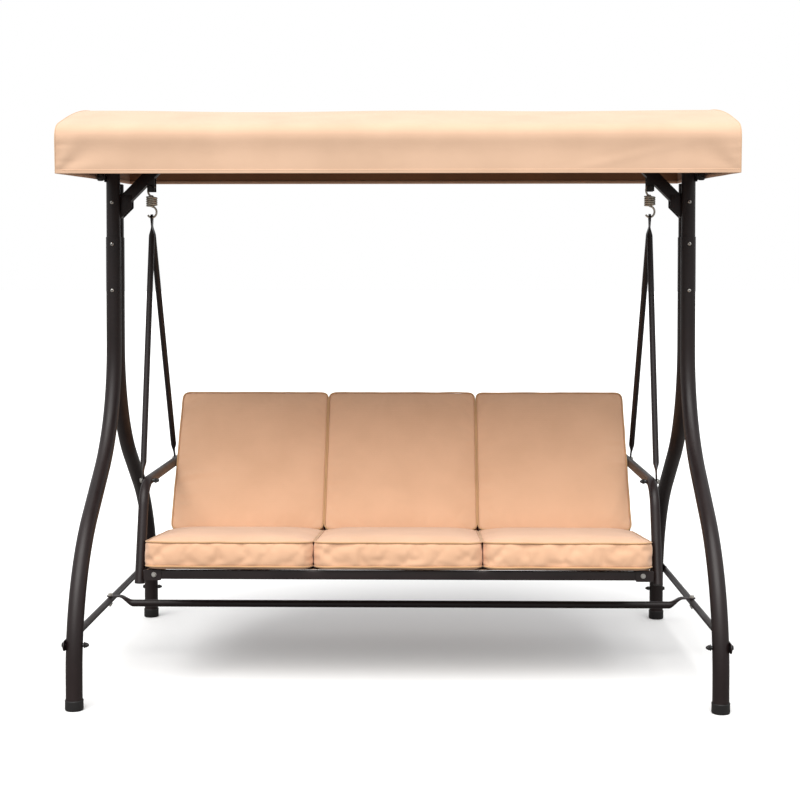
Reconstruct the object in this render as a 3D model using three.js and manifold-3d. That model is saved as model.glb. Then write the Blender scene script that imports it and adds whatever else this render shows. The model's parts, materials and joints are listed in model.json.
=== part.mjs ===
// Three-seat garden swing bench with a tilting canopy. Millimetres, +Z up, front towards -Y.
// The origin is on the ground, midway between the four feet.
import * as THREE from 'three';
import { mergeVertices } from 'three/addons/utils/BufferGeometryUtils.js';
import { RoundedBoxGeometry } from 'three/addons/geometries/RoundedBoxGeometry.js';
import Module from 'manifold-3d';

const wasm = await Module();
wasm.setup();

// ---- driving dimensions ----
const touchGap = 0.3;              // left between pieces that rest on each other
const legSpacing = 1840;           // between the left and right leg centres
const legRadius = 24;
const legWall = 1.5;
const footDepth = 1212;            // between the front and rear foot centres
const postDepth = 55;              // between the front and rear post centres
const lowerCornerHeight = 368;     // where the foot line meets the slope, before bending
const legSlope = 54.5;             // degrees off vertical between the two bends
const lowerBendRadius = 520;
const upperBendRadius = 470;
const legTop = 1366;
const postInsert = 80;             // how far an upper post goes down into its leg
const postSlip = 0.3;
const frontPostTop = 1612;
const rearPostTop = 1540;
const capWall = 2;
const capFloor = 3;
const capHeight = 30;
const capSlip = 0.5;
const braceHeight = 185;
const braceRadius = 10.5;
const braceOverhang = 20;          // past the foot centre line
const braceStrap = { width: 30, length: 62, taper: 26 };
const crossBarHeight = 175;
const crossBarRadius = 11.5;
const crossBarPlace = 15;          // towards the rear from the middle
const crossBarStrap = { width: 32, length: 42, taper: 40 };
const strapThickness = 4;          // a flattened tube end
const strapTubeWall = 1.2;
const drainRadius = 2.5;
const beamHeight = 1600;
const beamSize = 40;
const beamWall = 1.5;
const beamPlate = 3;
const beamPlateDepth = 70;
const beamPlateHeight = 60;
const diagonalSize = 36;
const diagonalWall = 1.5;
const diagonalFoot = 1478;         // height where its centre line meets the post side line
const gussetHeight = 76;
const gussetSheet = 3;
const gussetReach = 34;
const gussetBelow = 53.2;          // below the diagonal's foot
const springInset = 119;           // from the leg centre inwards to the spring
const springBoltHeight = 1524;
const springBoltRadius = 5;
const boltHole = 0.4;              // radial room round a bolt
const boltHeadShare = 1.8;         // head radius over bolt radius
const boltHeadDepthShare = 1.3;    // head depth over bolt radius
const wireRadius = 3.25;
const coilRadius = 15.25;
const coilPitch = 6.8;
const coilTurns = 5;
const upperHook = { halfWidth: 12, halfHeight: 17 };
const lowerHook = { halfWidth: 15.25, halfHeight: 17.4 };
const hookPlay = 0.5;
const eyePlay = 1.5;               // over the hook's wire in a hanger's eye
const cheekGap = 14;               // half the room between the cheeks round the upper hook
const cheekSheet = 3;
const cheekReach = 12;             // below and beside the spring bolt
const armInset = 21;               // from the spring inwards to the arm tube centre
const armRadius = 15;
const armWall = 1.5;
const armHeight = 605;
const armFoot = { y: -350, z: 313 };
const armLean = 16.5;              // degrees off vertical, front upright of the arm
const armBend = 95;
const armRear = 432;
const hangerRadius = 9.5;
const hangerStrap = 3;
const hangerStrapWidth = 27;
const hangerEye = 8;               // radius of the eye round the spring's hook
const hangerStrapReach = 32;       // past the bolt, before the taper
const hangerTaper = 25;
const hangerFrontBolt = -200;
const hangerRearBolt = 400;
const armBoltRadius = 4;
const seatJoint = { y: 100, z: 403 };   // where the seat top meets the back front
const seatTilt = 4.84;             // degrees, front edge higher
const backLean = 32.25;            // degrees off vertical
const cushionSideGap = 1.5;        // from the arms in to the outer cushions' pitch line
const cushionGap = 1.4;
const seatCushionDepth = 485;
const seatCushionThickness = 82;
const backCushionHeight = 516;
const backCushionThickness = 85;
const cushionRound = 24;
const slingThickness = 2.5;
const softGap = 0.5;
const seatRailHeight = 27;
const seatRailDepth = 20;
const seatFrontRailPlace = 452;    // forward of the seat joint, along the seat
const benchTubeRadius = 12.5;
const benchTubeWall = 1.5;
const sideRailGap = 2.5;           // between an arm and the seat and back side tubes
const backTopRail = 500;           // up the back from the seat joint
const canopyOverhang = 60;         // past the leg centres
const canopyDepth = 1092;
const canopyRise = 82;             // of the arched top over its edges
const valanceHeight = 132.5;
const clothThickness = 3;
const canopyEdgeRound = 30;
const canopyTilt = 2.1;            // degrees, front lower
const canopyPivotHeight = 1560;
const canopyDrop = 7.5;            // valance hem below the pivot
const bowRadius = 9.5;
const bowWall = 1.2;
const bowEndRoom = 3.85;           // between a bow's end and the rail it meets
const canopyPlate = 3;
const canopyPlateWidth = 32;
const canopyPlateFoot = 18;        // below the pivot
const knobRadius = 15;
const knobDepth = 24;
const knobStudRadius = 4;
const knobBevel = 6;               // along the axis
const knobFace = 10.5;             // radius of the flat outer face
const plateBowGap = 1;

// ---- materials ----
const finish = (color, roughness, metalness) => new THREE.MeshStandardMaterial({ color, roughness, metalness });
const framePaint = finish(0x2f2526, 0.42, 0.3);
const zincPlate = finish(0xb9b4aa, 0.38, 0.9);
const blackPlastic = finish(0x1c1a1b, 0.55, 0);
const peachCloth = finish(0xe6bd98, 0.92, 0);
const canopyCloth = finish(0xecc9a4, 0.9, 0);
const tanSling = finish(0xb9946c, 0.88, 0);

// ---- shape helpers ----
const radians = THREE.MathUtils.degToRad;
const alongX = new THREE.Matrix4().makeBasis(
  new THREE.Vector3(0, 1, 0), new THREE.Vector3(0, 0, 1), new THREE.Vector3(1, 0, 0));
const sides = { left: -1, right: 1 };
const ends = { front: -1, rear: 1 };

// A line of straight runs in the YZ plane, joined by round bends.
class BentPath extends THREE.Curve {
  constructor(corners, bendRadii) {
    super();
    this.runs = [];
    let start = corners[0].clone();
    bendRadii.forEach((radius, index) => {
      const corner = corners[index + 1];
      const inward = corner.clone().sub(corners[index]).normalize();
      const outward = corners[index + 2].clone().sub(corner).normalize();
      const turn = inward.angleTo(outward);
      const bend = new THREE.Vector2();
      bend.addVectors(outward, inward.clone().negate()).normalize();
      const centre = corner.clone().addScaledVector(bend, radius / Math.cos(turn / 2));
      const trim = radius * Math.tan(turn / 2);
      const bendStart = corner.clone().addScaledVector(inward, -trim);
      const bendEnd = corner.clone().addScaledVector(outward, trim);
      this.addLine(start, bendStart);
      this.addArc(centre, bendStart, turn, Math.sign(inward.cross(outward)), radius);
      start = bendEnd;
    });
    this.addLine(start, corners[corners.length - 1]);
    this.total = this.runs.reduce((sum, run) => sum + run.length, 0);
  }
  addLine(from, to) {
    this.runs.push({ length: from.distanceTo(to), at: (share) => from.clone().lerp(to, share) });
  }
  addArc(centre, from, turn, direction, radius) {
    const at = (share) => from.clone().rotateAround(centre, direction * turn * share);
    this.runs.push({ length: radius * turn, at });
  }
  getPoint(share, target = new THREE.Vector3()) {
    let left = share * this.total;
    let run = this.runs[0];
    for (const next of this.runs) {
      run = next;
      if (left <= next.length) break;
      left -= next.length;
    }
    const place = run.at(Math.min(left / run.length, 1));
    return target.set(0, place.x, place.y);
  }
}

function ringShape(outer, wall, corners) {
  const shape = new THREE.Shape();
  const hole = new THREE.Path();
  for (let index = 0; index < corners; index += 1) {
    const angle = (2 * Math.PI * index) / corners;
    const place = [Math.cos(angle), Math.sin(angle)];
    const inner = outer - wall;
    const draw = index === 0 ? 'moveTo' : 'lineTo';
    shape[draw](outer * place[0], outer * place[1]);
    hole[draw](inner * place[0], inner * place[1]);
  }
  shape.closePath();
  hole.closePath();
  shape.holes.push(hole);
  return shape;
}

function bentTube(path, outer, wall, steps, corners = 12) {
  return new THREE.ExtrudeGeometry(ringShape(outer, wall, corners), { extrudePath: path, steps });
}

function straightTubeX(length, outer, wall) {
  const options = { depth: length, bevelEnabled: false };
  const tube = new THREE.ExtrudeGeometry(ringShape(outer, wall, 12), options);
  tube.translate(0, 0, -length / 2);
  return tube.applyMatrix4(alongX);
}

function turned(profile, segments = 16) {
  const points = profile.map(([radius, height]) => new THREE.Vector2(radius, height));
  return new THREE.LatheGeometry(points, segments);
}

function block(width, depth, height, x = 0, y = 0, z = 0) {
  const shape = new THREE.BoxGeometry(width, depth, height);
  return shape.translate(x, y, z);
}

function pinX(radius, length, y, z, x = 0) {
  const pin = new THREE.CylinderGeometry(radius, radius, length, 16);
  pin.rotateZ(Math.PI / 2);
  return pin.translate(x, y, z);
}

function toSolid(geometry) {
  const bare = geometry.clone();
  bare.deleteAttribute('normal');
  bare.deleteAttribute('uv');
  const merged = mergeVertices(bare, 1e-3);
  const vertProperties = new Float32Array(merged.attributes.position.array);
  const triVerts = new Uint32Array(merged.index.array);
  return new wasm.Manifold(new wasm.Mesh({ numProp: 3, vertProperties, triVerts }));
}

function toGeometry(solid) {
  const mesh = solid.getMesh();
  const geometry = new THREE.BufferGeometry();
  geometry.setAttribute('position', new THREE.BufferAttribute(new Float32Array(mesh.vertProperties), 3));
  geometry.setIndex(new THREE.BufferAttribute(new Uint32Array(mesh.triVerts), 1));
  return geometry;
}

function cut(body, ...tools) {
  return toGeometry(tools.reduce((solid, tool) => solid.subtract(toSolid(tool)), toSolid(body)));
}

function join(body, ...extras) {
  return toGeometry(extras.reduce((solid, extra) => solid.add(toSolid(extra)), toSolid(body)));
}

function keepInside(body, room) {
  return toGeometry(toSolid(body).intersect(toSolid(room)));
}

function piece(name, geometry, material, x = 0, y = 0, z = 0) {
  const mesh = new THREE.Mesh(geometry, material);
  mesh.name = name;
  mesh.position.set(x, y, z);
  return mesh;
}

// A round tube along Y whose two ends are pressed flat into straps. The strap is thin along X.
// sideways gives the X offset of the strap at the low end, the round part and the high end.
// A small drain hole near the low end opens the hollow.
function strapEndedTube(length, radius, thickness, strap, sideways) {
  const bar = new THREE.CylinderGeometry(radius, radius, length, 12, 5);
  const half = length / 2;
  const inner = half - strap.length;
  const roundEnd = inner - strap.taper;
  const stations = [half, inner, roundEnd, -roundEnd, -inner, -half];
  const offsetAt = (y) => {
    const highShare = THREE.MathUtils.clamp((y + inner) / (2 * inner), 0, 1);
    return THREE.MathUtils.lerp(sideways.low, sideways.high, highShare);
  };
  const place = bar.attributes.position;
  for (let index = 0; index < place.count; index += 1) {
    const ring = Math.round(((half - place.getY(index)) / length) * 5);
    const isStrap = ring < 2 || ring > 3;
    const thin = isStrap ? thickness / 2 / radius : 1;
    const wide = isStrap ? strap.width / 2 / radius : 1;
    const offset = offsetAt(stations[ring]) + (isStrap ? 0 : sideways.round);
    place.setXYZ(index, place.getX(index) * thin + offset, stations[ring], place.getZ(index) * wide);
  }
  const bore = new THREE.CylinderGeometry(radius - strapTubeWall, radius - strapTubeWall, 2 * roundEnd, 12);
  const borePlace = bore.attributes.position;
  for (let index = 0; index < borePlace.count; index += 1) {
    borePlace.setX(index, borePlace.getX(index) + offsetAt(borePlace.getY(index)) + sideways.round);
  }
  const drainY = 4 * drainRadius - roundEnd;
  const drain = pinX(drainRadius, radius, drainY, 0, offsetAt(drainY) + sideways.round + radius);
  return cut(bar, bore, drain);
}

// ---- the stand ----
const legX = legSpacing / 2;
const postRadius = legRadius - legWall - postSlip;

function legPath() {
  const reach = footDepth / 2;
  const post = postDepth / 2;
  const upperCorner = lowerCornerHeight + (reach - post) / Math.tan(radians(legSlope));
  const corners = [
    new THREE.Vector2(reach, capFloor + touchGap),
    new THREE.Vector2(reach, lowerCornerHeight),
    new THREE.Vector2(post, upperCorner),
    new THREE.Vector2(post, legTop),
  ];
  return new BentPath(corners, [lowerBendRadius, upperBendRadius]);
}

function upright(bottom, top, outer, wall) {
  const line = new BentPath([new THREE.Vector2(0, bottom), new THREE.Vector2(0, top)], []);
  return bentTube(line, outer, wall, 1);
}

function footCap() {
  const inner = legRadius + capSlip;
  const outer = inner + capWall;
  return turned([[0, 0], [outer, 0], [outer, capHeight], [inner, capHeight], [inner, capFloor], [0, capFloor]], 24);
}

function addLegs(group) {
  for (const [sideName, side] of Object.entries(sides)) {
    for (const [endName, end] of Object.entries(ends)) {
      const place = `${endName}_${sideName}`;
      const leg = piece(`leg_${place}`, bentTube(legPath(), legRadius, legWall, 20), framePaint, side * legX);
      leg.rotation.z = end < 0 ? Math.PI : 0;
      const postTop = end < 0 ? frontPostTop : rearPostTop;
      const postTube = upright(legTop - postInsert, postTop, postRadius, legWall);
      const post = piece(`post_${place}`, postTube, framePaint, side * legX, (end * postDepth) / 2);
      post.rotation.z = leg.rotation.z;
      const cap = piece(`foot_cap_${place}`, footCap(), blackPlastic, side * legX, (end * footDepth) / 2);
      cap.rotation.x = Math.PI / 2;
      group.add(leg, post, cap);
    }
  }
}

const braceX = legX + legRadius + touchGap + strapThickness / 2;

function addBraces(group) {
  const length = footDepth + 2 * braceOverhang;
  const straps = { low: 0, round: 0, high: 0 };
  for (const [sideName, side] of Object.entries(sides)) {
    const bar = strapEndedTube(length, braceRadius, strapThickness, braceStrap, straps);
    group.add(piece(`side_brace_${sideName}`, bar, framePaint, side * braceX, 0, braceHeight));
  }
  const strapHeight = braceHeight + braceRadius + touchGap + strapThickness / 2;
  const drop = { low: strapHeight, round: crossBarHeight - strapHeight, high: strapHeight };
  const crossLength = 2 * (braceX + braceRadius + touchGap);
  const bar = strapEndedTube(crossLength, crossBarRadius, strapThickness, crossBarStrap, drop);
  const crossBar = piece('cross_bar', bar, framePaint, 0, crossBarPlace, 0);
  bar.applyMatrix4(new THREE.Matrix4().makeBasis(
    new THREE.Vector3(0, 0, 1), new THREE.Vector3(1, 0, 0), new THREE.Vector3(0, 1, 0)));
  group.add(crossBar);
}

// ---- the head of the stand: beam, corner diagonals, spring bolts ----
const postInnerFace = legX - postRadius;
const springX = legX - springInset;

function squareTubeX(length, size, wall) {
  return cut(block(length, size, size), block(length + 2, size - 2 * wall, size - 2 * wall));
}

function addBeam(group) {
  const plateOuter = postInnerFace - touchGap;
  const tube = squareTubeX(2 * plateOuter - beamPlate, beamSize, beamWall);
  const plates = Object.values(sides).map((side) => block(
    beamPlate, beamPlateDepth, beamPlateHeight, side * (plateOuter - beamPlate / 2), -postDepth / 4, 0));
  const inside = beamSize - 2 * beamWall;
  const beam = cut(join(tube, ...plates), block(2 * plateOuter + 2, inside, inside));
  group.add(piece('top_beam', beam, framePaint, 0, 0, beamHeight));
}

function diagonalTube(side) {
  const footX = postInnerFace - gussetSheet - 2 * touchGap;
  const top = beamHeight - beamSize / 2 - touchGap;
  const rise = top - diagonalFoot;
  const long = 4 * rise;
  const tube = squareTubeX(long, diagonalSize, diagonalWall);
  tube.rotateY((side * Math.PI) / 4);
  tube.translate(side * footX, 0, diagonalFoot);
  const room = block(long, diagonalSize * 2, rise + diagonalSize * 2, side * (footX - long / 2), 0,
    top - (rise + diagonalSize * 2) / 2);
  return keepInside(tube, room);
}

// Two cheeks under the diagonal carry the spring bolt.
function springCheeks(side) {
  const footX = postInnerFace - gussetSheet - 2 * touchGap;
  const lowerFace = diagonalFoot - diagonalSize / Math.SQRT2;
  const faceAt = (x) => lowerFace + (footX - x) + diagonalWall;
  const outline = new THREE.Shape();
  outline.moveTo(springX - cheekReach, springBoltHeight - cheekReach);
  outline.lineTo(springX + cheekReach, springBoltHeight - cheekReach);
  outline.lineTo(springX + cheekReach, faceAt(springX + cheekReach));
  outline.lineTo(springX - cheekReach, faceAt(springX - cheekReach));
  outline.closePath();
  return Object.values(ends).map((end) => {
    const cheek = new THREE.ExtrudeGeometry(outline, { depth: cheekSheet, bevelEnabled: false });
    cheek.rotateX(Math.PI / 2);
    cheek.translate(0, end * (cheekGap + cheekSheet / 2) + cheekSheet / 2, 0);
    if (side < 0) cheek.rotateZ(Math.PI);
    return cheek;
  });
}

function pinY(radius, length, x, z) {
  const pin = new THREE.CylinderGeometry(radius, radius, length, 16);
  return pin.translate(x, 0, z);
}

function shoulderBolt(grip, radius) {
  const head = radius * boltHeadShare;
  const headDepth = radius * boltHeadDepthShare;
  const half = grip / 2 + touchGap;
  return turned([
    [0, -half - headDepth], [head, -half - headDepth], [head, -half], [radius, -half],
    [radius, half], [head, half], [head, half + headDepth], [0, half + headDepth],
  ]);
}

function gusset(side) {
  const cheek = diagonalSize / 2 + touchGap;
  const outer = cheek + gussetSheet;
  const base = postInnerFace - touchGap;
  const web = base - gussetSheet;
  const reach = base - gussetReach;
  const outline = new THREE.Shape();
  outline.moveTo(side * base, -outer);
  outline.lineTo(side * base, outer);
  outline.lineTo(side * reach, outer);
  outline.lineTo(side * reach, cheek);
  outline.lineTo(side * web, cheek);
  outline.lineTo(side * web, -cheek);
  outline.lineTo(side * reach, -cheek);
  outline.lineTo(side * reach, -outer);
  outline.closePath();
  return new THREE.ExtrudeGeometry(outline, { depth: gussetHeight, bevelEnabled: false });
}

function addHead(group) {
  addBeam(group);
  for (const [sideName, side] of Object.entries(sides)) {
    const hole = pinY(springBoltRadius + boltHole, 4 * cheekGap, side * springX, springBoltHeight);
    const diagonal = cut(join(diagonalTube(side), ...springCheeks(side)), hole);
    group.add(piece(`diagonal_${sideName}`, diagonal, framePaint));
    group.add(piece(`gusset_${sideName}`, gusset(side), framePaint, 0, 0, diagonalFoot - gussetBelow));
    const bolt = shoulderBolt(2 * (cheekGap + cheekSheet), springBoltRadius);
    group.add(piece(`spring_bolt_${sideName}`, bolt, zincPlate, side * springX, 0, springBoltHeight));
  }
}

// ---- springs and hangers ----
const upperHookTop = springBoltHeight + springBoltRadius + hookPlay + wireRadius;
const coilTop = upperHookTop - 2 * upperHook.halfHeight;
const coilBottom = coilTop - coilPitch * coilTurns;
const lowerHookBottom = coilBottom - 2 * lowerHook.halfHeight;

function springPath() {
  const points = [];
  const hookSteps = 14;
  const openAngle = radians(35);
  const fullHook = 1.5 * Math.PI - openAngle;
  for (let step = 0; step <= hookSteps; step += 1) {
    const angle = openAngle + (fullHook * step) / hookSteps;
    const height = coilTop + upperHook.halfHeight * (1 + Math.sin(angle));
    points.push(new THREE.Vector3(upperHook.halfWidth * Math.cos(angle), 0, height));
  }
  const stepsPerTurn = 12;
  const coilSteps = coilTurns * stepsPerTurn;
  for (let step = 1; step < coilSteps; step += 1) {
    const angle = (2 * Math.PI * step) / stepsPerTurn;
    const fromEnd = Math.min(step, coilSteps - step) / (stepsPerTurn / 2);
    const radius = coilRadius * Math.min(fromEnd, 1);
    const height = THREE.MathUtils.lerp(coilTop, coilBottom, step / coilSteps);
    points.push(new THREE.Vector3(radius * Math.cos(angle), radius * Math.sin(angle), height));
  }
  for (let step = 0; step <= hookSteps; step += 1) {
    const angle = Math.PI / 2 - (fullHook * step) / hookSteps;
    const height = coilBottom - lowerHook.halfHeight * (1 - Math.sin(angle));
    points.push(new THREE.Vector3(lowerHook.halfWidth * Math.cos(angle), 0, height));
  }
  return new THREE.CatmullRomCurve3(points);
}

function springWire() {
  const section = new THREE.Shape();
  section.absarc(0, 0, wireRadius, 0, 2 * Math.PI);
  return new THREE.ExtrudeGeometry(section, { extrudePath: springPath(), steps: 84, curveSegments: 4 });
}

function hangerBar(side, topX, top, bottomX, bottom) {
  const down = new THREE.Vector2(top.y - bottom.y, top.z - bottom.z);
  const margin = hangerStrapWidth / 2;
  const offsets = { low: side * bottomX, round: 0, high: side * topX };
  const length = down.length() + 2 * margin;
  const strap = { width: hangerStrapWidth, length: margin + hangerStrapReach, taper: hangerTaper };
  const bar = strapEndedTube(length, hangerRadius, hangerStrap, strap, offsets);
  const half = down.length() / 2;
  const wide = 6 * hangerRadius;
  const topHole = pinX(hangerEye, wide, half, 0, side * topX);
  const bottomHole = pinX(armBoltRadius + boltHole, wide, -half, 0, side * bottomX);
  const drilled = cut(bar, topHole, bottomHole);
  drilled.rotateX(Math.atan2(down.y, down.x));
  return drilled.translate(0, (top.y + bottom.y) / 2, (top.z + bottom.z) / 2);
}

const armX = springX - armInset;

function addHangers(group) {
  const holeHeight = lowerHookBottom + wireRadius + eyePlay - hangerEye;
  const strapPitch = hangerStrap / 2 + touchGap;
  const strapX = armX + armRadius + touchGap + hangerStrap / 2;
  const grip = 2 * armRadius + hangerStrap + touchGap;
  for (const [sideName, side] of Object.entries(sides)) {
    for (const [endName, end] of Object.entries(ends)) {
      const bolt = { y: end < 0 ? hangerFrontBolt : hangerRearBolt, z: armHeight };
      const top = { y: 0, z: holeHeight };
      const bar = hangerBar(side, springX + end * strapPitch, top, strapX, bolt);
      group.add(piece(`hanger_${endName}_${sideName}`, bar, framePaint));
      const boltShape = shoulderBolt(grip, armBoltRadius).rotateZ(Math.PI / 2);
      const boltX = side * (armX + (hangerStrap + touchGap) / 2);
      group.add(piece(`arm_bolt_${endName}_${sideName}`, boltShape, zincPlate, boltX, bolt.y, bolt.z));
    }
  }
}

// ---- the bench ----
function armTube() {
  const lean = Math.tan(radians(armLean));
  const corners = [
    new THREE.Vector2(armFoot.y, armFoot.z),
    new THREE.Vector2(armFoot.y + (armHeight - armFoot.z) * lean, armHeight),
    new THREE.Vector2(armRear, armHeight),
  ];
  const tube = bentTube(new BentPath(corners, [armBend]), armRadius, armWall, 16);
  const holes = [hangerFrontBolt, hangerRearBolt].map((y) => pinX(armBoltRadius + boltHole, 3 * armRadius, y, armHeight));
  return cut(tube, ...holes);
}

const sideRailX = armX - armRadius - sideRailGap - benchTubeRadius;
const cushionPitch = (2 * (armX - armRadius - cushionSideGap)) / 3;   // three side by side
const seatFrameTop = -(seatCushionThickness + slingThickness + 2 * softGap);
const backFrameFace = backCushionThickness + slingThickness + 3 * softGap;
const seatTubeZ = seatFrameTop - benchTubeRadius;
const backTubeY = backFrameFace + benchTubeRadius;

// How far behind the seat joint, along the seat, its side tubes cross the line of the back tubes,
// and how far down the back that crossing lies.
function frameCrossing() {
  const turn = radians(backLean - seatTilt);
  const down = (seatTubeZ + backTubeY * Math.sin(turn)) / Math.cos(turn);
  return { back: backTubeY * Math.cos(turn) + down * Math.sin(turn), down };
}

function tubeY(length, outer, wall) {
  const options = { depth: length, bevelEnabled: false };
  const tube = new THREE.ExtrudeGeometry(ringShape(outer, wall, 12), options);
  tube.translate(0, 0, -length / 2);
  return tube.rotateX(Math.PI / 2);
}

function addSeat(group) {
  const seat = new THREE.Group();
  seat.position.set(0, seatJoint.y, seatJoint.z);
  seat.rotation.x = -radians(seatTilt);
  const crossing = frameCrossing();
  const frontFace = -seatFrontRailPlace;
  const railLength = 2 * (armX - armRadius - touchGap);
  const rail = cut(block(railLength, seatRailDepth, seatRailHeight),
    block(railLength + 2, seatRailDepth - 2 * benchTubeWall, seatRailHeight - 2 * benchTubeWall));
  seat.add(piece('seat_rail_front', rail, framePaint, 0, frontFace, seatFrameTop - seatRailHeight / 2));
  const rearTube = straightTubeX(2 * (sideRailX + benchTubeRadius), benchTubeRadius, benchTubeWall);
  seat.add(piece('seat_rail_rear', rearTube, framePaint, 0, crossing.back, seatTubeZ));
  const railFront = frontFace + seatRailDepth / 2 + touchGap;
  const railRear = crossing.back - benchTubeRadius - touchGap;
  const sideTube = tubeY(railRear - railFront, benchTubeRadius, benchTubeWall);
  for (const [sideName, side] of Object.entries(sides)) {
    const place = [side * sideRailX, (railFront + railRear) / 2, seatTubeZ];
    seat.add(piece(`seat_rail_${sideName}`, sideTube, framePaint, ...place));
  }
  const slingLength = railRear - frontFace;
  const sling = block(2 * sideRailX + benchTubeRadius, slingLength, slingThickness);
  const slingZ = seatFrameTop + softGap + slingThickness / 2;
  seat.add(piece('seat_sling', sling, tanSling, 0, (railRear + frontFace) / 2, slingZ));
  for (const [index, place] of ['left', 'middle', 'right'].entries()) {
    const cushion = new RoundedBoxGeometry(
      cushionPitch - cushionGap, seatCushionDepth, seatCushionThickness, 1, cushionRound);
    const x = (index - 1) * cushionPitch;
    seat.add(piece(`seat_cushion_${place}`, cushion, peachCloth, x, -seatCushionDepth / 2, -seatCushionThickness / 2));
  }
  group.add(seat);
}

function addBack(group) {
  const back = new THREE.Group();
  back.position.set(0, seatJoint.y, seatJoint.z);
  back.rotation.x = -radians(backLean);
  const crossing = frameCrossing();
  const tubeFoot = crossing.down + benchTubeRadius + touchGap + benchTubeRadius / 2;
  const tubeHead = backTopRail - benchTubeRadius - touchGap;
  const sideTube = tubeY(tubeHead - tubeFoot, benchTubeRadius, benchTubeWall).rotateX(Math.PI / 2);
  for (const [sideName, side] of Object.entries(sides)) {
    const place = [side * sideRailX, backTubeY, (tubeHead + tubeFoot) / 2];
    back.add(piece(`back_tube_${sideName}`, sideTube, framePaint, ...place));
  }
  const topTube = straightTubeX(2 * (sideRailX + benchTubeRadius), benchTubeRadius, benchTubeWall);
  back.add(piece('back_rail_top', topTube, framePaint, 0, backTubeY, backTopRail));
  const slingFoot = benchTubeRadius;
  const sling = block(2 * sideRailX + benchTubeRadius, slingThickness, backTopRail - slingFoot);
  const slingY = backFrameFace - softGap - slingThickness / 2;
  back.add(piece('back_sling', sling, tanSling, 0, slingY, (backTopRail + slingFoot) / 2));
  for (const [index, place] of ['left', 'middle', 'right'].entries()) {
    const cushion = new RoundedBoxGeometry(
      cushionPitch - cushionGap, backCushionThickness, backCushionHeight, 1, cushionRound);
    const x = (index - 1) * cushionPitch;
    const z = backCushionHeight / 2 + softGap;
    back.add(piece(`back_cushion_${place}`, cushion, peachCloth, x, backCushionThickness / 2 + softGap, z));
  }
  group.add(back);
}

function addBench(group) {
  for (const [sideName, side] of Object.entries(sides)) {
    group.add(piece(`arm_${sideName}`, armTube(), framePaint, side * armX));
  }
  addSeat(group);
  addBack(group);
}

// ---- the canopy, drawn about its pivot on the front posts ----
const canopyMiddle = postDepth / 2;      // behind the pivot
const canopyWidth = 2 * (legX + canopyOverhang);
const edgeHeight = valanceHeight - canopyDrop;
const archRadius = ((canopyDepth / 2) ** 2 + canopyRise ** 2) / (2 * canopyRise);
const archHeight = (radius, across) => edgeHeight + canopyRise - archRadius + Math.sqrt(radius ** 2 - across ** 2);

function canopyBlock(inset, below) {
  const half = canopyDepth / 2 - inset;
  const radius = archRadius - inset;
  const shoulder = canopyEdgeRound;
  const steps = 16;
  const outline = new THREE.Shape();
  outline.moveTo(-half, -canopyDrop - below);
  outline.lineTo(-half, edgeHeight - inset - shoulder);
  outline.quadraticCurveTo(-half, edgeHeight - inset, shoulder - half, archHeight(radius, half - shoulder));
  for (let step = 1; step <= steps; step += 1) {
    const across = (half - shoulder) * ((2 * step) / steps - 1);
    outline.lineTo(across, archHeight(radius, across));
  }
  outline.quadraticCurveTo(half, edgeHeight - inset, half, edgeHeight - inset - shoulder);
  outline.lineTo(half, -canopyDrop - below);
  outline.closePath();
  const width = canopyWidth - 2 * inset;
  const shape = new THREE.ExtrudeGeometry(outline, { depth: width, bevelEnabled: false, curveSegments: 3 });
  shape.translate(0, 0, -width / 2);
  return shape.applyMatrix4(alongX);
}

function canopyBow(reach) {
  const radius = archRadius - clothThickness - 2 * softGap - bowRadius;
  const turn = Math.asin(reach / radius);
  const bow = new THREE.Curve();
  bow.getPoint = (share, target = new THREE.Vector3()) => {
    const angle = turn * (2 * share - 1);
    const height = edgeHeight + canopyRise - archRadius + radius * Math.cos(angle);
    return target.set(0, radius * Math.sin(angle), height);
  };
  return bentTube(bow, bowRadius, bowWall, 10, 10);
}

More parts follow.
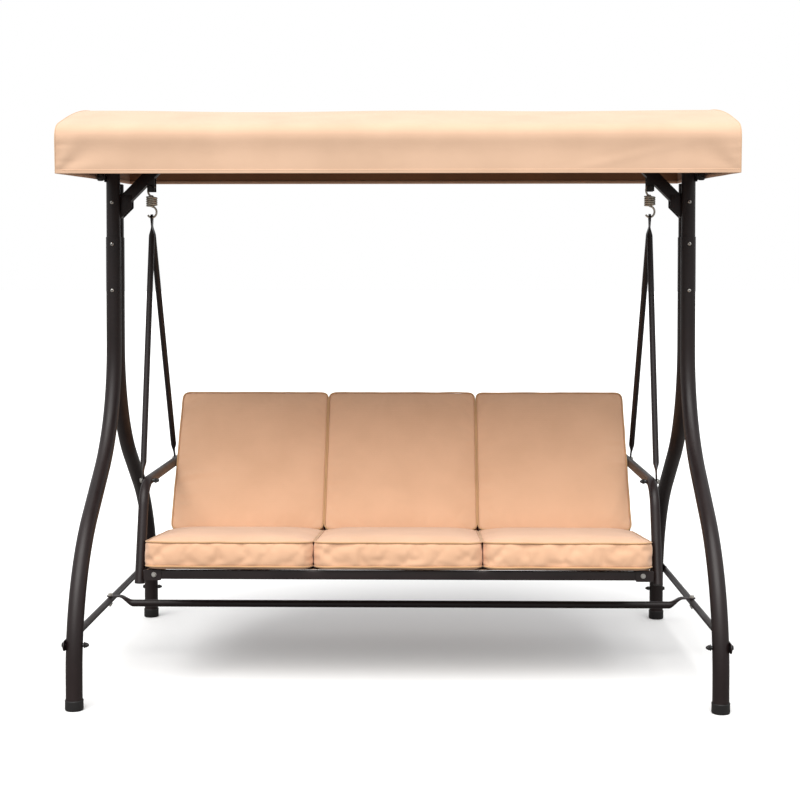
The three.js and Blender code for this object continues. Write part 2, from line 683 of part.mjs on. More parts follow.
function addCanopy(group) {
  const canopy = new THREE.Group();
  canopy.position.set(0, -postDepth / 2, canopyPivotHeight);
  canopy.rotation.x = radians(canopyTilt);
  const shell = cut(canopyBlock(0, 0), canopyBlock(clothThickness, 10));
  canopy.add(piece('canopy_fabric', shell, canopyCloth, 0, canopyMiddle, 0));
  const railY = canopyDepth / 2 - clothThickness - canopyEdgeRound + bowRadius;
  const bowEnd = railY - bowRadius - bowEndRoom;
  const bowCentreRadius = archRadius - clothThickness - 2 * softGap - bowRadius;
  const railZ = edgeHeight - bowRadius - softGap;
  const plateX = legX + postRadius + 2 * touchGap + canopyPlate / 2;
  const railLength = canopyWidth - 2 * (clothThickness + softGap);
  for (const [endName, end] of Object.entries(ends)) {
    const rail = straightTubeX(railLength, bowRadius, bowWall);
    canopy.add(piece(`canopy_rail_${endName}`, rail, framePaint, 0, canopyMiddle + end * railY, railZ));
  }
  canopy.add(piece('canopy_bow_middle', canopyBow(bowEnd), framePaint, 0, canopyMiddle, 0));
  for (const [sideName, side] of Object.entries(sides)) {
    canopy.add(piece(`canopy_bow_${sideName}`, canopyBow(bowEnd), framePaint, side * plateX, canopyMiddle, 0));
    const plateTop = archHeight(bowCentreRadius, canopyMiddle) - bowRadius - plateBowGap;
    const plateHeight = plateTop + canopyPlateFoot;
    const blank = block(canopyPlate, canopyPlateWidth, plateHeight, 0, 0, plateTop - plateHeight / 2);
    const plate = cut(blank, pinX(knobStudRadius + boltHole, 4 * canopyPlate, 0, 0));
    canopy.add(piece(`canopy_bracket_${sideName}`, plate, framePaint, side * plateX));
    const face = canopyPlate / 2 + touchGap;
    const stud = -canopyPlate / 2 - touchGap / 2;
    const knob = turned([
      [0, stud], [knobStudRadius, stud], [knobStudRadius, face], [knobRadius, face],
      [knobRadius, face + knobDepth - knobBevel], [knobFace, face + knobDepth], [0, face + knobDepth],
    ]);
    knob.rotateZ((-side * Math.PI) / 2);
    canopy.add(piece(`canopy_knob_${sideName}`, knob, blackPlastic, side * plateX));
  }
  group.add(canopy);
}

function addSprings(group) {
  for (const [sideName, side] of Object.entries(sides)) {
    group.add(piece(`spring_${sideName}`, springWire(), zincPlate, side * springX));
  }
}

const swing = new THREE.Group();
addLegs(swing);
addBraces(swing);
addHead(swing);
addSprings(swing);
addHangers(swing);
addBench(swing);
addCanopy(swing);

export default swing;
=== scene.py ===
# %% [markdown]
# # A three-seat garden swing bench with a canopy
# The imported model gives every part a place, in metres, with Z up and the front towards -Y.
# This lesson puts fine surfaces round that fixed frame: smooth bent tubes, real fasteners, wound
# springs, sewn cushions and a cloth canopy. Nothing here moves or resizes the frame itself.

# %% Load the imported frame
import json
import math
import bmesh
import bpy
from mathutils import Matrix, Vector, noise


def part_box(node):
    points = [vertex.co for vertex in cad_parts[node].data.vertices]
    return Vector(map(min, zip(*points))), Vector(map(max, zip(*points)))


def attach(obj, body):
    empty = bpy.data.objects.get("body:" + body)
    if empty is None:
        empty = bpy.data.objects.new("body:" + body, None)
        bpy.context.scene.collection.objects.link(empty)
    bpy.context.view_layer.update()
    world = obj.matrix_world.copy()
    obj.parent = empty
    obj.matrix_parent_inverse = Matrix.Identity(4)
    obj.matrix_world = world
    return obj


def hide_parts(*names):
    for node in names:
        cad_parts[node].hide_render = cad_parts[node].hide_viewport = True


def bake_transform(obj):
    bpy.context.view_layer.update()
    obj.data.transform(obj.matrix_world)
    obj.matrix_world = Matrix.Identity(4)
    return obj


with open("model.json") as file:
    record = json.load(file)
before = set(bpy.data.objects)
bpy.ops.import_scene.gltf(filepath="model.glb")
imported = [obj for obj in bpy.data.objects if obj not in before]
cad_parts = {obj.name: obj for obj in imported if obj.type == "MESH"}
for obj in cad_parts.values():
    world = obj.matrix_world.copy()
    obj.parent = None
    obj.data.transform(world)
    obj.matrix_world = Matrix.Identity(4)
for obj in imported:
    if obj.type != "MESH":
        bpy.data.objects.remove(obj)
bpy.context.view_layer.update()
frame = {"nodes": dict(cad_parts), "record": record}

MM = 0.001
SIDES = {"left": -1, "right": 1}
ENDS = {"front": -1, "rear": 1}

# %% [markdown]
# ## Where things are
# A node's box gives its lowest and highest corners, so the middle of a tube, a bolt or a cushion is
# read from the frame. Two small helpers keep those readings short.

# %% Read places from the frame
def middle(node):
    low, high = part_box(node)
    return (Vector(low) + Vector(high)) / 2

def extent(node):
    low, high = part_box(node)
    return Vector(high) - Vector(low)

leg_radius = extent("leg_front_right").x / 2
leg_x = middle("leg_front_right").x
foot_y = middle("foot_cap_rear_right").y
post_y = middle("post_rear_right").y
arm_x = middle("arm_right").x
spring_x = middle("spring_right").x
pivot = Vector(next(j for j in frame["record"]["behaviour"]["joints"] if j["name"] == "canopy_tilt")["pos_m"])

def fit(piece, body, *nodes):
    """The piece moves with body and stands for the nodes."""
    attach(piece, body)
    if nodes:
        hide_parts(*nodes)
    return piece

print(f"legs {2 * leg_x:.3f} m apart, feet {2 * foot_y:.3f} m apart, tube {2 * leg_radius * 1000:.0f} mm")

# %% [markdown]
# ## Floor, light and camera
# The bench stands on a pale studio floor under a large soft key light from above and in front. The camera
# stands a little right of the middle, at the height of the back cushions' tops plus an arm's length, and
# looks slightly down.

# %% Floor and backdrop
def stage_material():
    """A pale floor. It looks white, and throws only a little light back up, as a matt paper sweep does."""
    material = bpy.data.materials.new("studio_floor")
    material.use_nodes = True
    tree = material.node_tree
    shader = tree.nodes["Principled BSDF"]
    speckle = tree.nodes.new("ShaderNodeTexNoise")
    speckle.inputs["Scale"].default_value = 3.0
    ramp = tree.nodes.new("ShaderNodeValToRGB")
    ramp.color_ramp.elements[0].color = (0.93, 0.93, 0.93, 1)
    ramp.color_ramp.elements[1].color = (0.96, 0.96, 0.96, 1)
    tree.links.new(speckle.outputs["Fac"], ramp.inputs["Fac"])
    tree.links.new(ramp.outputs["Color"], shader.inputs["Base Color"])
    shader.inputs["Roughness"].default_value = 0.9
    shader.inputs["Specular IOR Level"].default_value = 0.1
    duller = tree.nodes.new("ShaderNodeBsdfDiffuse")
    duller.inputs["Color"].default_value = (0.24, 0.23, 0.22, 1)
    choose = tree.nodes.new("ShaderNodeMixShader")
    tree.links.new(tree.nodes.new("ShaderNodeLightPath").outputs["Is Camera Ray"], choose.inputs[0])
    tree.links.new(duller.outputs[0], choose.inputs[1])
    tree.links.new(shader.outputs[0], choose.inputs[2])
    tree.links.new(choose.outputs[0], tree.nodes["Material Output"].inputs["Surface"])
    return material

def studio_floor(half=200.0):
    mesh = bpy.data.meshes.new("studio_floor")
    mesh.from_pydata([(-half, -half, 0), (half, -half, 0), (half, half, 0), (-half, half, 0)], [], [(0, 1, 2, 3)])
    floor = bpy.data.objects.new("studio_floor", mesh)
    floor.data.materials.append(stage_material())
    bpy.context.collection.objects.link(floor)

studio_floor()

# %% Room light
world = bpy.context.scene.world or bpy.data.worlds.new("studio")
bpy.context.scene.world = world
world.use_nodes = True
room = world.node_tree
room_light = room.nodes["Background"]
room_light.inputs["Color"].default_value = (0.98, 0.99, 1.0, 1)
room_light.inputs["Strength"].default_value = 0.80
sheet_seen = room.nodes.new("ShaderNodeBackground")
sheet_seen.inputs["Color"].default_value = (1, 1, 1, 1)
sheet_seen.inputs["Strength"].default_value = 1.0
choose_room = room.nodes.new("ShaderNodeMixShader")
room.links.new(room.nodes.new("ShaderNodeLightPath").outputs["Is Camera Ray"], choose_room.inputs[0])
room.links.new(room_light.outputs[0], choose_room.inputs[1])
room.links.new(sheet_seen.outputs[0], choose_room.inputs[2])
room.links.new(choose_room.outputs[0], room.nodes["World Output"].inputs["Surface"])
bpy.context.scene.view_settings.view_transform = "Standard"

# %% Key light
def broad_light(name, direction, strength, spread_angle, colour):
    """A very large, far soft box: it lights the floor evenly and casts soft shadows."""
    data = bpy.data.lights.new(name, "SUN")
    data.energy, data.angle, data.color = strength, spread_angle, colour
    lamp = bpy.data.objects.new(name, data)
    lamp.rotation_euler = (-Vector(direction)).to_track_quat("-Z", "Y").to_euler()
    bpy.context.collection.objects.link(lamp)

broad_light("key_above_front", (-0.12, -0.56, 0.82), 3.5, 1.0, (1.0, 0.99, 0.97))

# %% Camera
IMAGE_SIDE = 800
camera_data = bpy.data.cameras.new("camera")
camera_data.sensor_width = 36
camera_data.lens = 36 * 1512.5 / IMAGE_SIDE
camera_data.shift_y = -0.0903
camera = bpy.data.objects.new("camera", camera_data)
camera.location = (0.0866, -4.875, 1.2207)
camera.rotation_euler = (math.pi / 2 - 0.03, 0, 0.0178)
bpy.context.collection.objects.link(camera)
bpy.context.scene.camera = camera

# %% [markdown]
# ## Shared surface effects
# Cloth, paint and plating each have a texture of their own, but two effects come back in several
# finishes: the crossing threads of a plain weave and the fine unevenness of a sprayed or plated
# skin. Each is a node group with named sockets, built once and placed with its own values.

# %% A node group starter
def new_group(name, inputs, outputs):
    group = bpy.data.node_groups.new(name, "ShaderNodeTree")
    for title, kind, value in inputs:
        socket = group.interface.new_socket(title, in_out="INPUT", socket_type=kind)
        socket.default_value = value
    for title, kind in outputs:
        group.interface.new_socket(title, in_out="OUTPUT", socket_type=kind)
    start = group.nodes.new("NodeGroupInput")
    end = group.nodes.new("NodeGroupOutput")
    return group, start, end

def math_node(tree, operation, first, second=None, clamp=False):
    node = tree.nodes.new("ShaderNodeMath")
    node.operation, node.use_clamp = operation, clamp
    for socket, value in zip(node.inputs, (first, second)):
        if value is None:
            continue
        if isinstance(value, (int, float)):
            socket.default_value = value
        else:
            tree.links.new(value, socket)
    return node.outputs[0]

# %% Plain weave
def weave_group():
    group, start, end = new_group(
        "plain_weave",
        [("Threads per metre", "NodeSocketFloat", 900.0), ("Slub", "NodeSocketFloat", 0.4)],
        [("Height", "NodeSocketFloat"), ("Shade", "NodeSocketFloat")])
    place = group.nodes.new("ShaderNodeTexCoord")
    wobble = group.nodes.new("ShaderNodeTexNoise")
    wobble.inputs["Scale"].default_value = 60.0
    group.links.new(place.outputs["Object"], wobble.inputs["Vector"])
    split = group.nodes.new("ShaderNodeSeparateXYZ")
    group.links.new(place.outputs["Object"], split.inputs[0])
    turns = math_node(group, "MULTIPLY", start.outputs["Threads per metre"], math.pi)
    waves = [math_node(group, "SINE", math_node(group, "MULTIPLY", split.outputs[axis], turns)) for axis in range(3)]
    pairs = [math_node(group, "MULTIPLY", waves[a], waves[b]) for a, b in ((0, 1), (1, 2), (2, 0))]
    crossing = math_node(group, "ADD", math_node(group, "ADD", pairs[0], pairs[1]), pairs[2])
    slub = math_node(group, "MULTIPLY", wobble.outputs["Fac"], start.outputs["Slub"])
    height = math_node(group, "ADD", math_node(group, "MULTIPLY", crossing, 0.35), slub)
    group.links.new(height, end.inputs["Height"])
    broad = group.nodes.new("ShaderNodeTexNoise")
    broad.inputs["Scale"].default_value = 7.0
    broad.inputs["Detail"].default_value = 3.0
    group.links.new(place.outputs["Object"], broad.inputs["Vector"])
    fine = math_node(group, "MULTIPLY", crossing, 0.06)
    group.links.new(math_node(group, "ADD", broad.outputs["Fac"], fine), end.inputs["Shade"])
    return group

plain_weave = weave_group()

# %% Sprayed or plated skin, with dust in it
def skin_group():
    group, start, end = new_group(
        "coat_skin",
        [("Grain per metre", "NodeSocketFloat", 900.0), ("Dust", "NodeSocketFloat", 0.3)],
        [("Height", "NodeSocketFloat"), ("Patch", "NodeSocketFloat"), ("Speck", "NodeSocketFloat")])
    place = group.nodes.new("ShaderNodeTexCoord")
    grain = group.nodes.new("ShaderNodeTexNoise")
    group.links.new(place.outputs["Object"], grain.inputs["Vector"])
    group.links.new(start.outputs["Grain per metre"], grain.inputs["Scale"])
    group.links.new(grain.outputs["Fac"], end.inputs["Height"])
    patch = group.nodes.new("ShaderNodeTexNoise")
    patch.inputs["Scale"].default_value = 9.0
    patch.inputs["Detail"].default_value = 5.0
    group.links.new(place.outputs["Object"], patch.inputs["Vector"])
    group.links.new(patch.outputs["Fac"], end.inputs["Patch"])
    specks = group.nodes.new("ShaderNodeTexNoise")
    specks.inputs["Scale"].default_value = 140.0
    specks.inputs["Detail"].default_value = 6.0
    group.links.new(place.outputs["Object"], specks.inputs["Vector"])
    above = math_node(group, "SUBTRACT", specks.outputs["Fac"], 0.56, clamp=True)
    speck = math_node(group, "MULTIPLY", math_node(group, "MULTIPLY", above, 5.0), start.outputs["Dust"], clamp=True)
    group.links.new(speck, end.inputs["Speck"])
    return group

coat_skin = skin_group()
print("groups:", plain_weave.name, coat_skin.name)

# %% [markdown]
# ## The finishes
# The frame is powder coated a very dark brown, satin, with a slight orange-peel skin. Fasteners and
# springs are zinc plated, caps and knobs moulded plastic. The cushion covers and the canopy are a
# peach-beige polyester, plain woven; the slings are a coarser tan mesh.

# %% A starter for a finish
def mix_colours(tree, share, first, second):
    node = tree.nodes.new("ShaderNodeMix")
    node.data_type = "RGBA"
    node.inputs[6].default_value = (*first, 1)
    node.inputs[7].default_value = (*second, 1)
    tree.links.new(share, node.inputs[0])
    return node.outputs[2]

def new_finish(name):
    material = bpy.data.materials.new(name)
    material.use_nodes = True
    tree = material.node_tree
    return material, tree, tree.nodes["Principled BSDF"]

def bump_from(tree, height, distance, strength, under=None):
    bump = tree.nodes.new("ShaderNodeBump")
    bump.inputs["Distance"].default_value = distance
    bump.inputs["Strength"].default_value = strength
    tree.links.new(height, bump.inputs["Height"])
    if under is not None:
        tree.links.new(under, bump.inputs["Normal"])
    return bump.outputs["Normal"]

def spread(tree, value, low, high, to_low, to_high):
    node = tree.nodes.new("ShaderNodeMapRange")
    for socket, number in zip(node.inputs[1:5], (low, high, to_low, to_high)):
        socket.default_value = number
    tree.links.new(value, node.inputs[0])
    return node.outputs[0]

# %% Cloth finishes
def cloth(name, dark, light, threads, relief, fold_scale=14.0, fold=0.25):
    material, tree, shader = new_finish(name)
    weave = tree.nodes.new("ShaderNodeGroup")
    weave.node_tree = plain_weave
    weave.inputs["Threads per metre"].default_value = threads
    share = spread(tree, weave.outputs["Shade"], 0.3, 0.7, 0, 1)
    tree.links.new(mix_colours(tree, share, dark, light), shader.inputs["Base Color"])
    tree.links.new(spread(tree, weave.outputs["Shade"], 0.3, 0.7, 0.86, 0.94), shader.inputs["Roughness"])
    shader.inputs["Sheen Weight"].default_value = 0.25
    shader.inputs["Sheen Roughness"].default_value = 0.5
    place = tree.nodes.new("ShaderNodeTexCoord")
    folds = tree.nodes.new("ShaderNodeTexNoise")
    folds.inputs["Scale"].default_value = fold_scale
    folds.inputs["Detail"].default_value = 2.0
    folds.inputs["Distortion"].default_value = 0.6
    tree.links.new(place.outputs["Object"], folds.inputs["Vector"])
    broad = bump_from(tree, folds.outputs["Fac"], 0.004, fold)
    tree.links.new(bump_from(tree, weave.outputs["Height"], relief, 0.6, broad), shader.inputs["Normal"])
    return material

cushion_cloth = cloth("cushion_cloth", (0.700, 0.413, 0.254), (0.765, 0.460, 0.290), 900.0, 0.0003)
# Painted shade: the piping's cloth is darker and more golden than the cover's, standing for the shadow line along each
# piped seam.
piping_painted_shade_cloth = cloth("piping_painted_shade_cloth", (0.50, 0.290, 0.140), (0.60, 0.350, 0.175), 1100.0, 0.0002)
canopy_cloth = cloth("canopy_cloth", (0.645, 0.422, 0.285), (0.705, 0.468, 0.322), 1000.0, 0.0002, 7.0, 0.35)
seam_cloth = cloth("seam_cloth", (0.62, 0.41, 0.25), (0.70, 0.47, 0.30), 1100.0, 0.0002)
# Painted shade: the canopy cloth's back face gets this dark brown, standing for the shadow under the canopy.
canopy_underside_painted_shade = cloth("canopy_underside_painted_shade", (0.190, 0.085, 0.036), (0.235, 0.108, 0.048), 1000.0, 0.0002, 7.0, 0.3)
sling_mesh = cloth("sling_mesh", (0.36, 0.215, 0.125), (0.46, 0.285, 0.17), 420.0, 0.0006)

# %% Paint, plating and plastic
def coated(name, dark, light, metallic, low, high, grain, relief, dust, dust_colour):
    material, tree, shader = new_finish(name)
    skin = tree.nodes.new("ShaderNodeGroup")
    skin.node_tree = coat_skin
    skin.inputs["Grain per metre"].default_value = grain
    skin.inputs["Dust"].default_value = dust
    base = mix_colours(tree, spread(tree, skin.outputs["Patch"], 0.35, 0.65, 0, 1), dark, light)
    dusty = tree.nodes.new("ShaderNodeMix")
    dusty.data_type = "RGBA"
    dusty.inputs[7].default_value = (*dust_colour, 1)
    tree.links.new(base, dusty.inputs[6])
    tree.links.new(skin.outputs["Speck"], dusty.inputs[0])
    tree.links.new(dusty.outputs[2], shader.inputs["Base Color"])
    tree.links.new(spread(tree, skin.outputs["Patch"], 0.3, 0.7, low, high), shader.inputs["Roughness"])
    shader.inputs["Metallic"].default_value = metallic
    tree.links.new(bump_from(tree, skin.outputs["Height"], relief, 0.5), shader.inputs["Normal"])
    return material

frame_paint = coated("frame_paint", (0.0098, 0.0050, 0.0050), (0.0142, 0.0072, 0.0072), 0.0, 0.38, 0.50,
                     700.0, 0.00025, 0.10, (0.06, 0.05, 0.048))
paint_shader = frame_paint.node_tree.nodes["Principled BSDF"]
paint_shader.inputs["Specular IOR Level"].default_value = 0.38
zinc = coated("zinc_plate", (0.42, 0.41, 0.39), (0.56, 0.54, 0.50), 0.85, 0.28, 0.42,
              1200.0, 0.00008, 0.25, (0.22, 0.19, 0.15))
spring_zinc = coated("spring_zinc", (0.46, 0.42, 0.35), (0.62, 0.58, 0.50), 0.60, 0.28, 0.45,
                     900.0, 0.0001, 0.45, (0.12, 0.095, 0.07))
black_plastic = coated("black_plastic", (0.008, 0.0075, 0.008), (0.013, 0.012, 0.0125), 0.0, 0.42, 0.55,
                       1500.0, 0.00015, 0.15, (0.05, 0.045, 0.04))
print("finishes:", ", ".join(m.name for m in bpy.data.materials))

# %% [markdown]
# ## Making bent tube
# A maker bends straight tube round formers, so its middle line is straight runs joined by arcs. The
# same idea makes the mesh: a list of corners and a bend radius for each gives the middle line, and a
# round section is carried along it. A curve object could do this too, but a mesh lets the ends stay
# open with a real wall, and lets a strap end be pressed flat.

# %% Middle lines
def rounded_line(corners, radii, step=0.012):
    """Points along straight runs joined by arcs. The corners are 3-D; radii has one for each inner corner."""
    points = [Vector(corners[0])]
    for index, radius in enumerate(radii, start=1):
        before, corner, after = (Vector(corners[index + k]) for k in (-1, 0, 1))
        inward, outward = (corner - before).normalized(), (after - corner).normalized()
        turn = inward.angle(outward)
        trim = radius * math.tan(turn / 2)
        centre = corner + (outward - inward).normalized() * radius / math.cos(turn / 2)
        axis = inward.cross(outward).normalized()
        arm = corner - inward * trim - centre
        steps = max(4, round(radius * turn / step))
        points += [centre + Matrix.Rotation(turn * k / steps, 3, axis) @ arm for k in range(steps + 1)]
    return points + [Vector(corners[-1])]

# %% Meshes from rings
def new_piece(name, verts, faces, material, smooth_angle=40):
    mesh = bpy.data.meshes.new(name)
    mesh.from_pydata([tuple(v) for v in verts], [], faces)
    mesh.validate()
    piece = bpy.data.objects.new(name, mesh)
    bpy.context.collection.objects.link(piece)
    mesh.materials.append(material)
    bm = bmesh.new()
    bm.from_mesh(mesh)
    bmesh.ops.remove_doubles(bm, verts=bm.verts, dist=1e-6)
    bmesh.ops.recalc_face_normals(bm, faces=bm.faces)
    bm.to_mesh(mesh)
    bm.free()
    mesh.set_sharp_from_angle(angle=math.radians(smooth_angle))
    mesh.shade_smooth()
    mesh.set_sharp_from_angle(angle=math.radians(smooth_angle))
    return piece

def bridge(rings, closed_line=False, cap=True):
    """Quads between rings of equal length, with a fan over each end."""
    size = len(rings[0])
    verts = [v for ring in rings for v in ring]
    count = len(rings)
    faces = []
    for r in range(count if closed_line else count - 1):
        low, high = r * size, ((r + 1) % count) * size
        faces += [(low + k, low + (k + 1) % size, high + (k + 1) % size, high + k) for k in range(size)]
    if cap and not closed_line:
        for start, flip in ((0, True), ((count - 1) * size, False)):
            ring = list(range(start, start + size))
            faces.append(tuple(reversed(ring) if flip else ring))
    return verts, faces

def line_frames(points, closed=False):
    """A tangent and two side directions at each point, turning as little as possible along the line."""
    count = len(points)
    frames = []
    side = None
    for k, point in enumerate(points):
        after = points[(k + 1) % count] if closed or k + 1 < count else point
        before = points[k - 1] if closed or k > 0 else point
        tangent = (after - before).normalized()
        if side is None:
            side = tangent.orthogonal().normalized()
        side = (side - tangent * side.dot(tangent)).normalized()
        frames.append((point, tangent, side, tangent.cross(side)))
    return frames

def ring_at(frame_here, radius, sides, along=0.0, twist=0.0):
    point, tangent, side, up = frame_here
    angles = [2 * math.pi * k / sides + twist for k in range(sides)]
    return [point + tangent * along + (side * math.cos(a) + up * math.sin(a)) * radius for a in angles]

def tube(name, points, radius, material, wall=0.0015, sides=28):
    """A tube with open ends, a real wall and a lightly dressed rim."""
    frames = line_frames(points)
    rim = min(0.0005, wall / 3)
    outer = [ring_at(f, radius, sides) for f in frames]
    outer[0] = ring_at(frames[0], radius, sides, along=rim)
    outer[-1] = ring_at(frames[-1], radius, sides, along=-rim)
    inside = radius - wall
    inner = [ring_at(frames[-1], inside, sides), ring_at(frames[-1], inside, sides, along=-2 * radius)]
    start = [ring_at(frames[0], inside, sides, along=2 * radius), ring_at(frames[0], inside, sides)]
    face_start, face_end = ring_at(frames[0], radius - rim, sides), ring_at(frames[-1], radius - rim, sides)
    rings = start + [face_start] + outer + [face_end] + inner
    verts, faces = bridge(rings, cap=True)
    return new_piece(name, verts, faces, material)

def beaded_line(name, points, radius, material, sides=10):
    """A thin closed loop, such as piping."""
    twisted = line_frames(points, closed=True)
    point, tangent, side, up = twisted[-1]
    first_side = twisted[0][2]
    turn = math.atan2(first_side.dot(up), first_side.dot(side))
    count = len(points)
    rings = [ring_at(f, radius, sides, twist=turn * k / count) for k, f in enumerate(twisted)]
    verts, faces = bridge(rings, closed_line=True)
    return new_piece(name, verts, faces, material)

# %% [markdown]
# ## The four legs, their posts and feet
# Each leg is one 48 mm tube with two bends. A thinner post slides into its top and runs up under the
# canopy; the rear post stops short and is closed with a domed plug. Plastic caps keep the open tube
# ends off the ground. The bends are worked out from where the foot and the post stand.

# %% Legs and posts
LEG_SLOPE = math.radians(54.5)
LOWER_CORNER = 0.368
LOWER_BEND, UPPER_BEND = 0.52, 0.47
LEG_WALL = 0.0015
leg_foot_z, leg_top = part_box("leg_front_right")[0][2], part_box("leg_front_right")[1][2]

def leg_line(side, end):
    reach, post = foot_y, post_y
    upper = LOWER_CORNER + (reach - post) / math.tan(LEG_SLOPE)
    heights = ((reach, leg_foot_z), (reach, LOWER_CORNER), (post, upper), (post, leg_top))
    return rounded_line([(side * leg_x, end * y, z) for y, z in heights], [LOWER_BEND, UPPER_BEND])

def turned(name, profile, place, axis, material, sides=28, smooth_angle=35):
    """A lathe-turned piece: profile is (radius, height) pairs from the low end, along axis."""
    turn = Vector(axis).to_track_quat("Z", "Y").to_matrix()
    rings = []
    for radius, height in profile:
        round_it = [(math.cos(2 * math.pi * k / sides), math.sin(2 * math.pi * k / sides)) for k in range(sides)]
        rings.append([turn @ Vector((x * radius, y * radius, height)) + Vector(place) for x, y in round_it])
    verts, faces = bridge(rings)
    return new_piece(name, verts, faces, material, smooth_angle)

def dome(radius, height, base=0.0, steps=6):
    angles = [math.pi / 2 * k / steps for k in range(steps)]
    return [(radius * math.cos(a), base + height * math.sin(a)) for a in angles] + [(radius * 0.03, base + height)]

def foot_cap(node):
    low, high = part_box(node)
    centre, radius, height = middle(node), extent(node).x / 2, extent(node).z
    lip, floor = radius - 2.0 * MM, 3.0 * MM
    profile = [(radius - 7 * MM, 0), (radius - 5 * MM, 0), (radius - 1.5 * MM, 1 * MM), (radius, 4 * MM),
               (radius - 0.4 * MM, height - 5 * MM), (radius, height - 4 * MM), (radius, height - 1 * MM),
               (radius - 0.6 * MM, height), (lip + 0.3 * MM, height), (lip, height - 1 * MM), (lip, floor)]
    return turned(f"{node}_moulded", profile, (centre.x, centre.y, low[2]), (0, 0, 1), black_plastic)

for side_name, side in SIDES.items():
    for end_name, end in ENDS.items():
        place = f"{end_name}_{side_name}"
        leg = tube(f"bent_leg_{place}", leg_line(side, end), leg_radius, frame_paint, LEG_WALL, 36)
        fit(leg, "stand", f"leg_{place}")
        low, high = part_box(f"post_{place}")
        centre, radius = middle(f"post_{place}"), extent(f"post_{place}").x / 2
        line = [Vector((centre.x, centre.y, z)) for z in (low[2], leg_top + 0.002, high[2] - 0.004)]
        post = tube(f"straight_post_{place}", line, radius, frame_paint, LEG_WALL, 36)
        fit(post, "stand", f"post_{place}")
        plug_profile = [(radius * 0.85, -0.012), (radius * 0.9, -0.001), (radius, 0.0)] + dome(radius, 0.003, 0.001)
        plug = turned(f"post_plug_{place}", plug_profile, (centre.x, centre.y, high[2] - 0.004), (0, 0, 1), black_plastic)
        fit(plug, "stand")
        fit(foot_cap(f"foot_cap_{place}"), "stand", f"foot_cap_{place}")
print(f"legs: bends of {LOWER_BEND} and {UPPER_BEND} m, tops at {leg_top:.3f} m")

# %% [markdown]
# ## Tubes with flattened ends
# Braces and hangers are round tubes whose ends are pressed flat in a die and drilled for a bolt. The
# section goes from a circle to a flat strap with round edges over a few centimetres, and the tip is
# cut round. Lofting one section into the next shows the same soft shoulders as the pressed metal.

# %% Strap-ended tube
def superellipse(half_thick, half_wide, power, sides):
    shape = []
    for k in range(sides):
        angle = 2 * math.pi * k / sides
        c, s = math.cos(angle), math.sin(angle)
        shape.append((math.copysign(abs(c) ** power, c) * half_thick, math.copysign(abs(s) ** power, s) * half_wide))
    return shape

def ease(share):
    share = min(max(share, 0.0), 1.0)
    return share * share * (3 - 2 * share)

def strap_tube(name, low, high, thin, radius, strap, width, flat, taper, shift=0.0, sides=28):
    """low and high are the strap middles at the two tips; thin is the direction the strap is thin in."""
    low, high = Vector(low), Vector(high)
    length = (high - low).length
    along = (high - low).normalized()
    thin = (Vector(thin) - along * Vector(thin).dot(along)).normalized()
    wide = along.cross(thin)
    tip = width / 2
    near_tip = [tip * (1 - math.cos(math.pi / 2 * k / 7)) for k in range(8)]
    half = near_tip[:-1] + [tip + (flat - tip) * k / 3 for k in range(4)]
    half += [flat + taper * k / 12 for k in range(1, 13)]
    stations = half + [length - s for s in reversed(half)]
    rings = []
    for station in stations:
        from_end = min(station, length - station)
        roundness = ease((from_end - flat) / taper)
        half_thick = strap / 2 + (radius - strap / 2) * roundness
        half_wide = width / 2 + (radius - width / 2) * roundness
        if from_end < tip:
            half_wide = max(math.sqrt(max(tip ** 2 - (tip - from_end) ** 2, 0)), width * 0.02)
        power = 0.35 + 0.65 * roundness
        centre = low + along * station + thin * shift * roundness
        section = superellipse(half_thick, half_wide, power, sides)
        rings.append([centre + thin * a + wide * b for a, b in section])
    verts, faces = bridge(rings)
    return new_piece(name, verts, faces, frame_paint)

# %% Braces and the cross bar
STRAP = 0.004
for side_name, side in SIDES.items():
    node = f"side_brace_{side_name}"
    low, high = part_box(node)
    centre = middle(node)
    tips = [(centre.x, y, centre.z) for y in (low[1], high[1])]
    brace = strap_tube(f"pressed_{node}", *tips, (1, 0, 0), 0.0105, STRAP, 0.030, 0.062, 0.030)
    fit(brace, "stand", node)

low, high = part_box("cross_bar")
bar_y = middle("cross_bar").y
strap_z = high[2] - STRAP / 2
bar_z = low[2] + 0.0115
tips = [(x, bar_y, strap_z) for x in (low[0], high[0])]
cross_bar = strap_tube("pressed_cross_bar", *tips, (0, 0, 1), 0.0115, STRAP, 0.032, 0.042, 0.044, shift=bar_z - strap_z)
fit(cross_bar, "stand", "cross_bar")
print(f"cross bar at {bar_z:.3f} m, its straps at {strap_z:.3f} m")

# %% [markdown]
# ## Folded and welded sheet pieces
# The top beam, the corner diagonals with their spring cheeks and the U-shaped gussets are already the
# right shape in the frame. Real sheet and square tube have no razor edges, so each is copied, its
# flat faces are merged, and a small bevel is run along the folds.

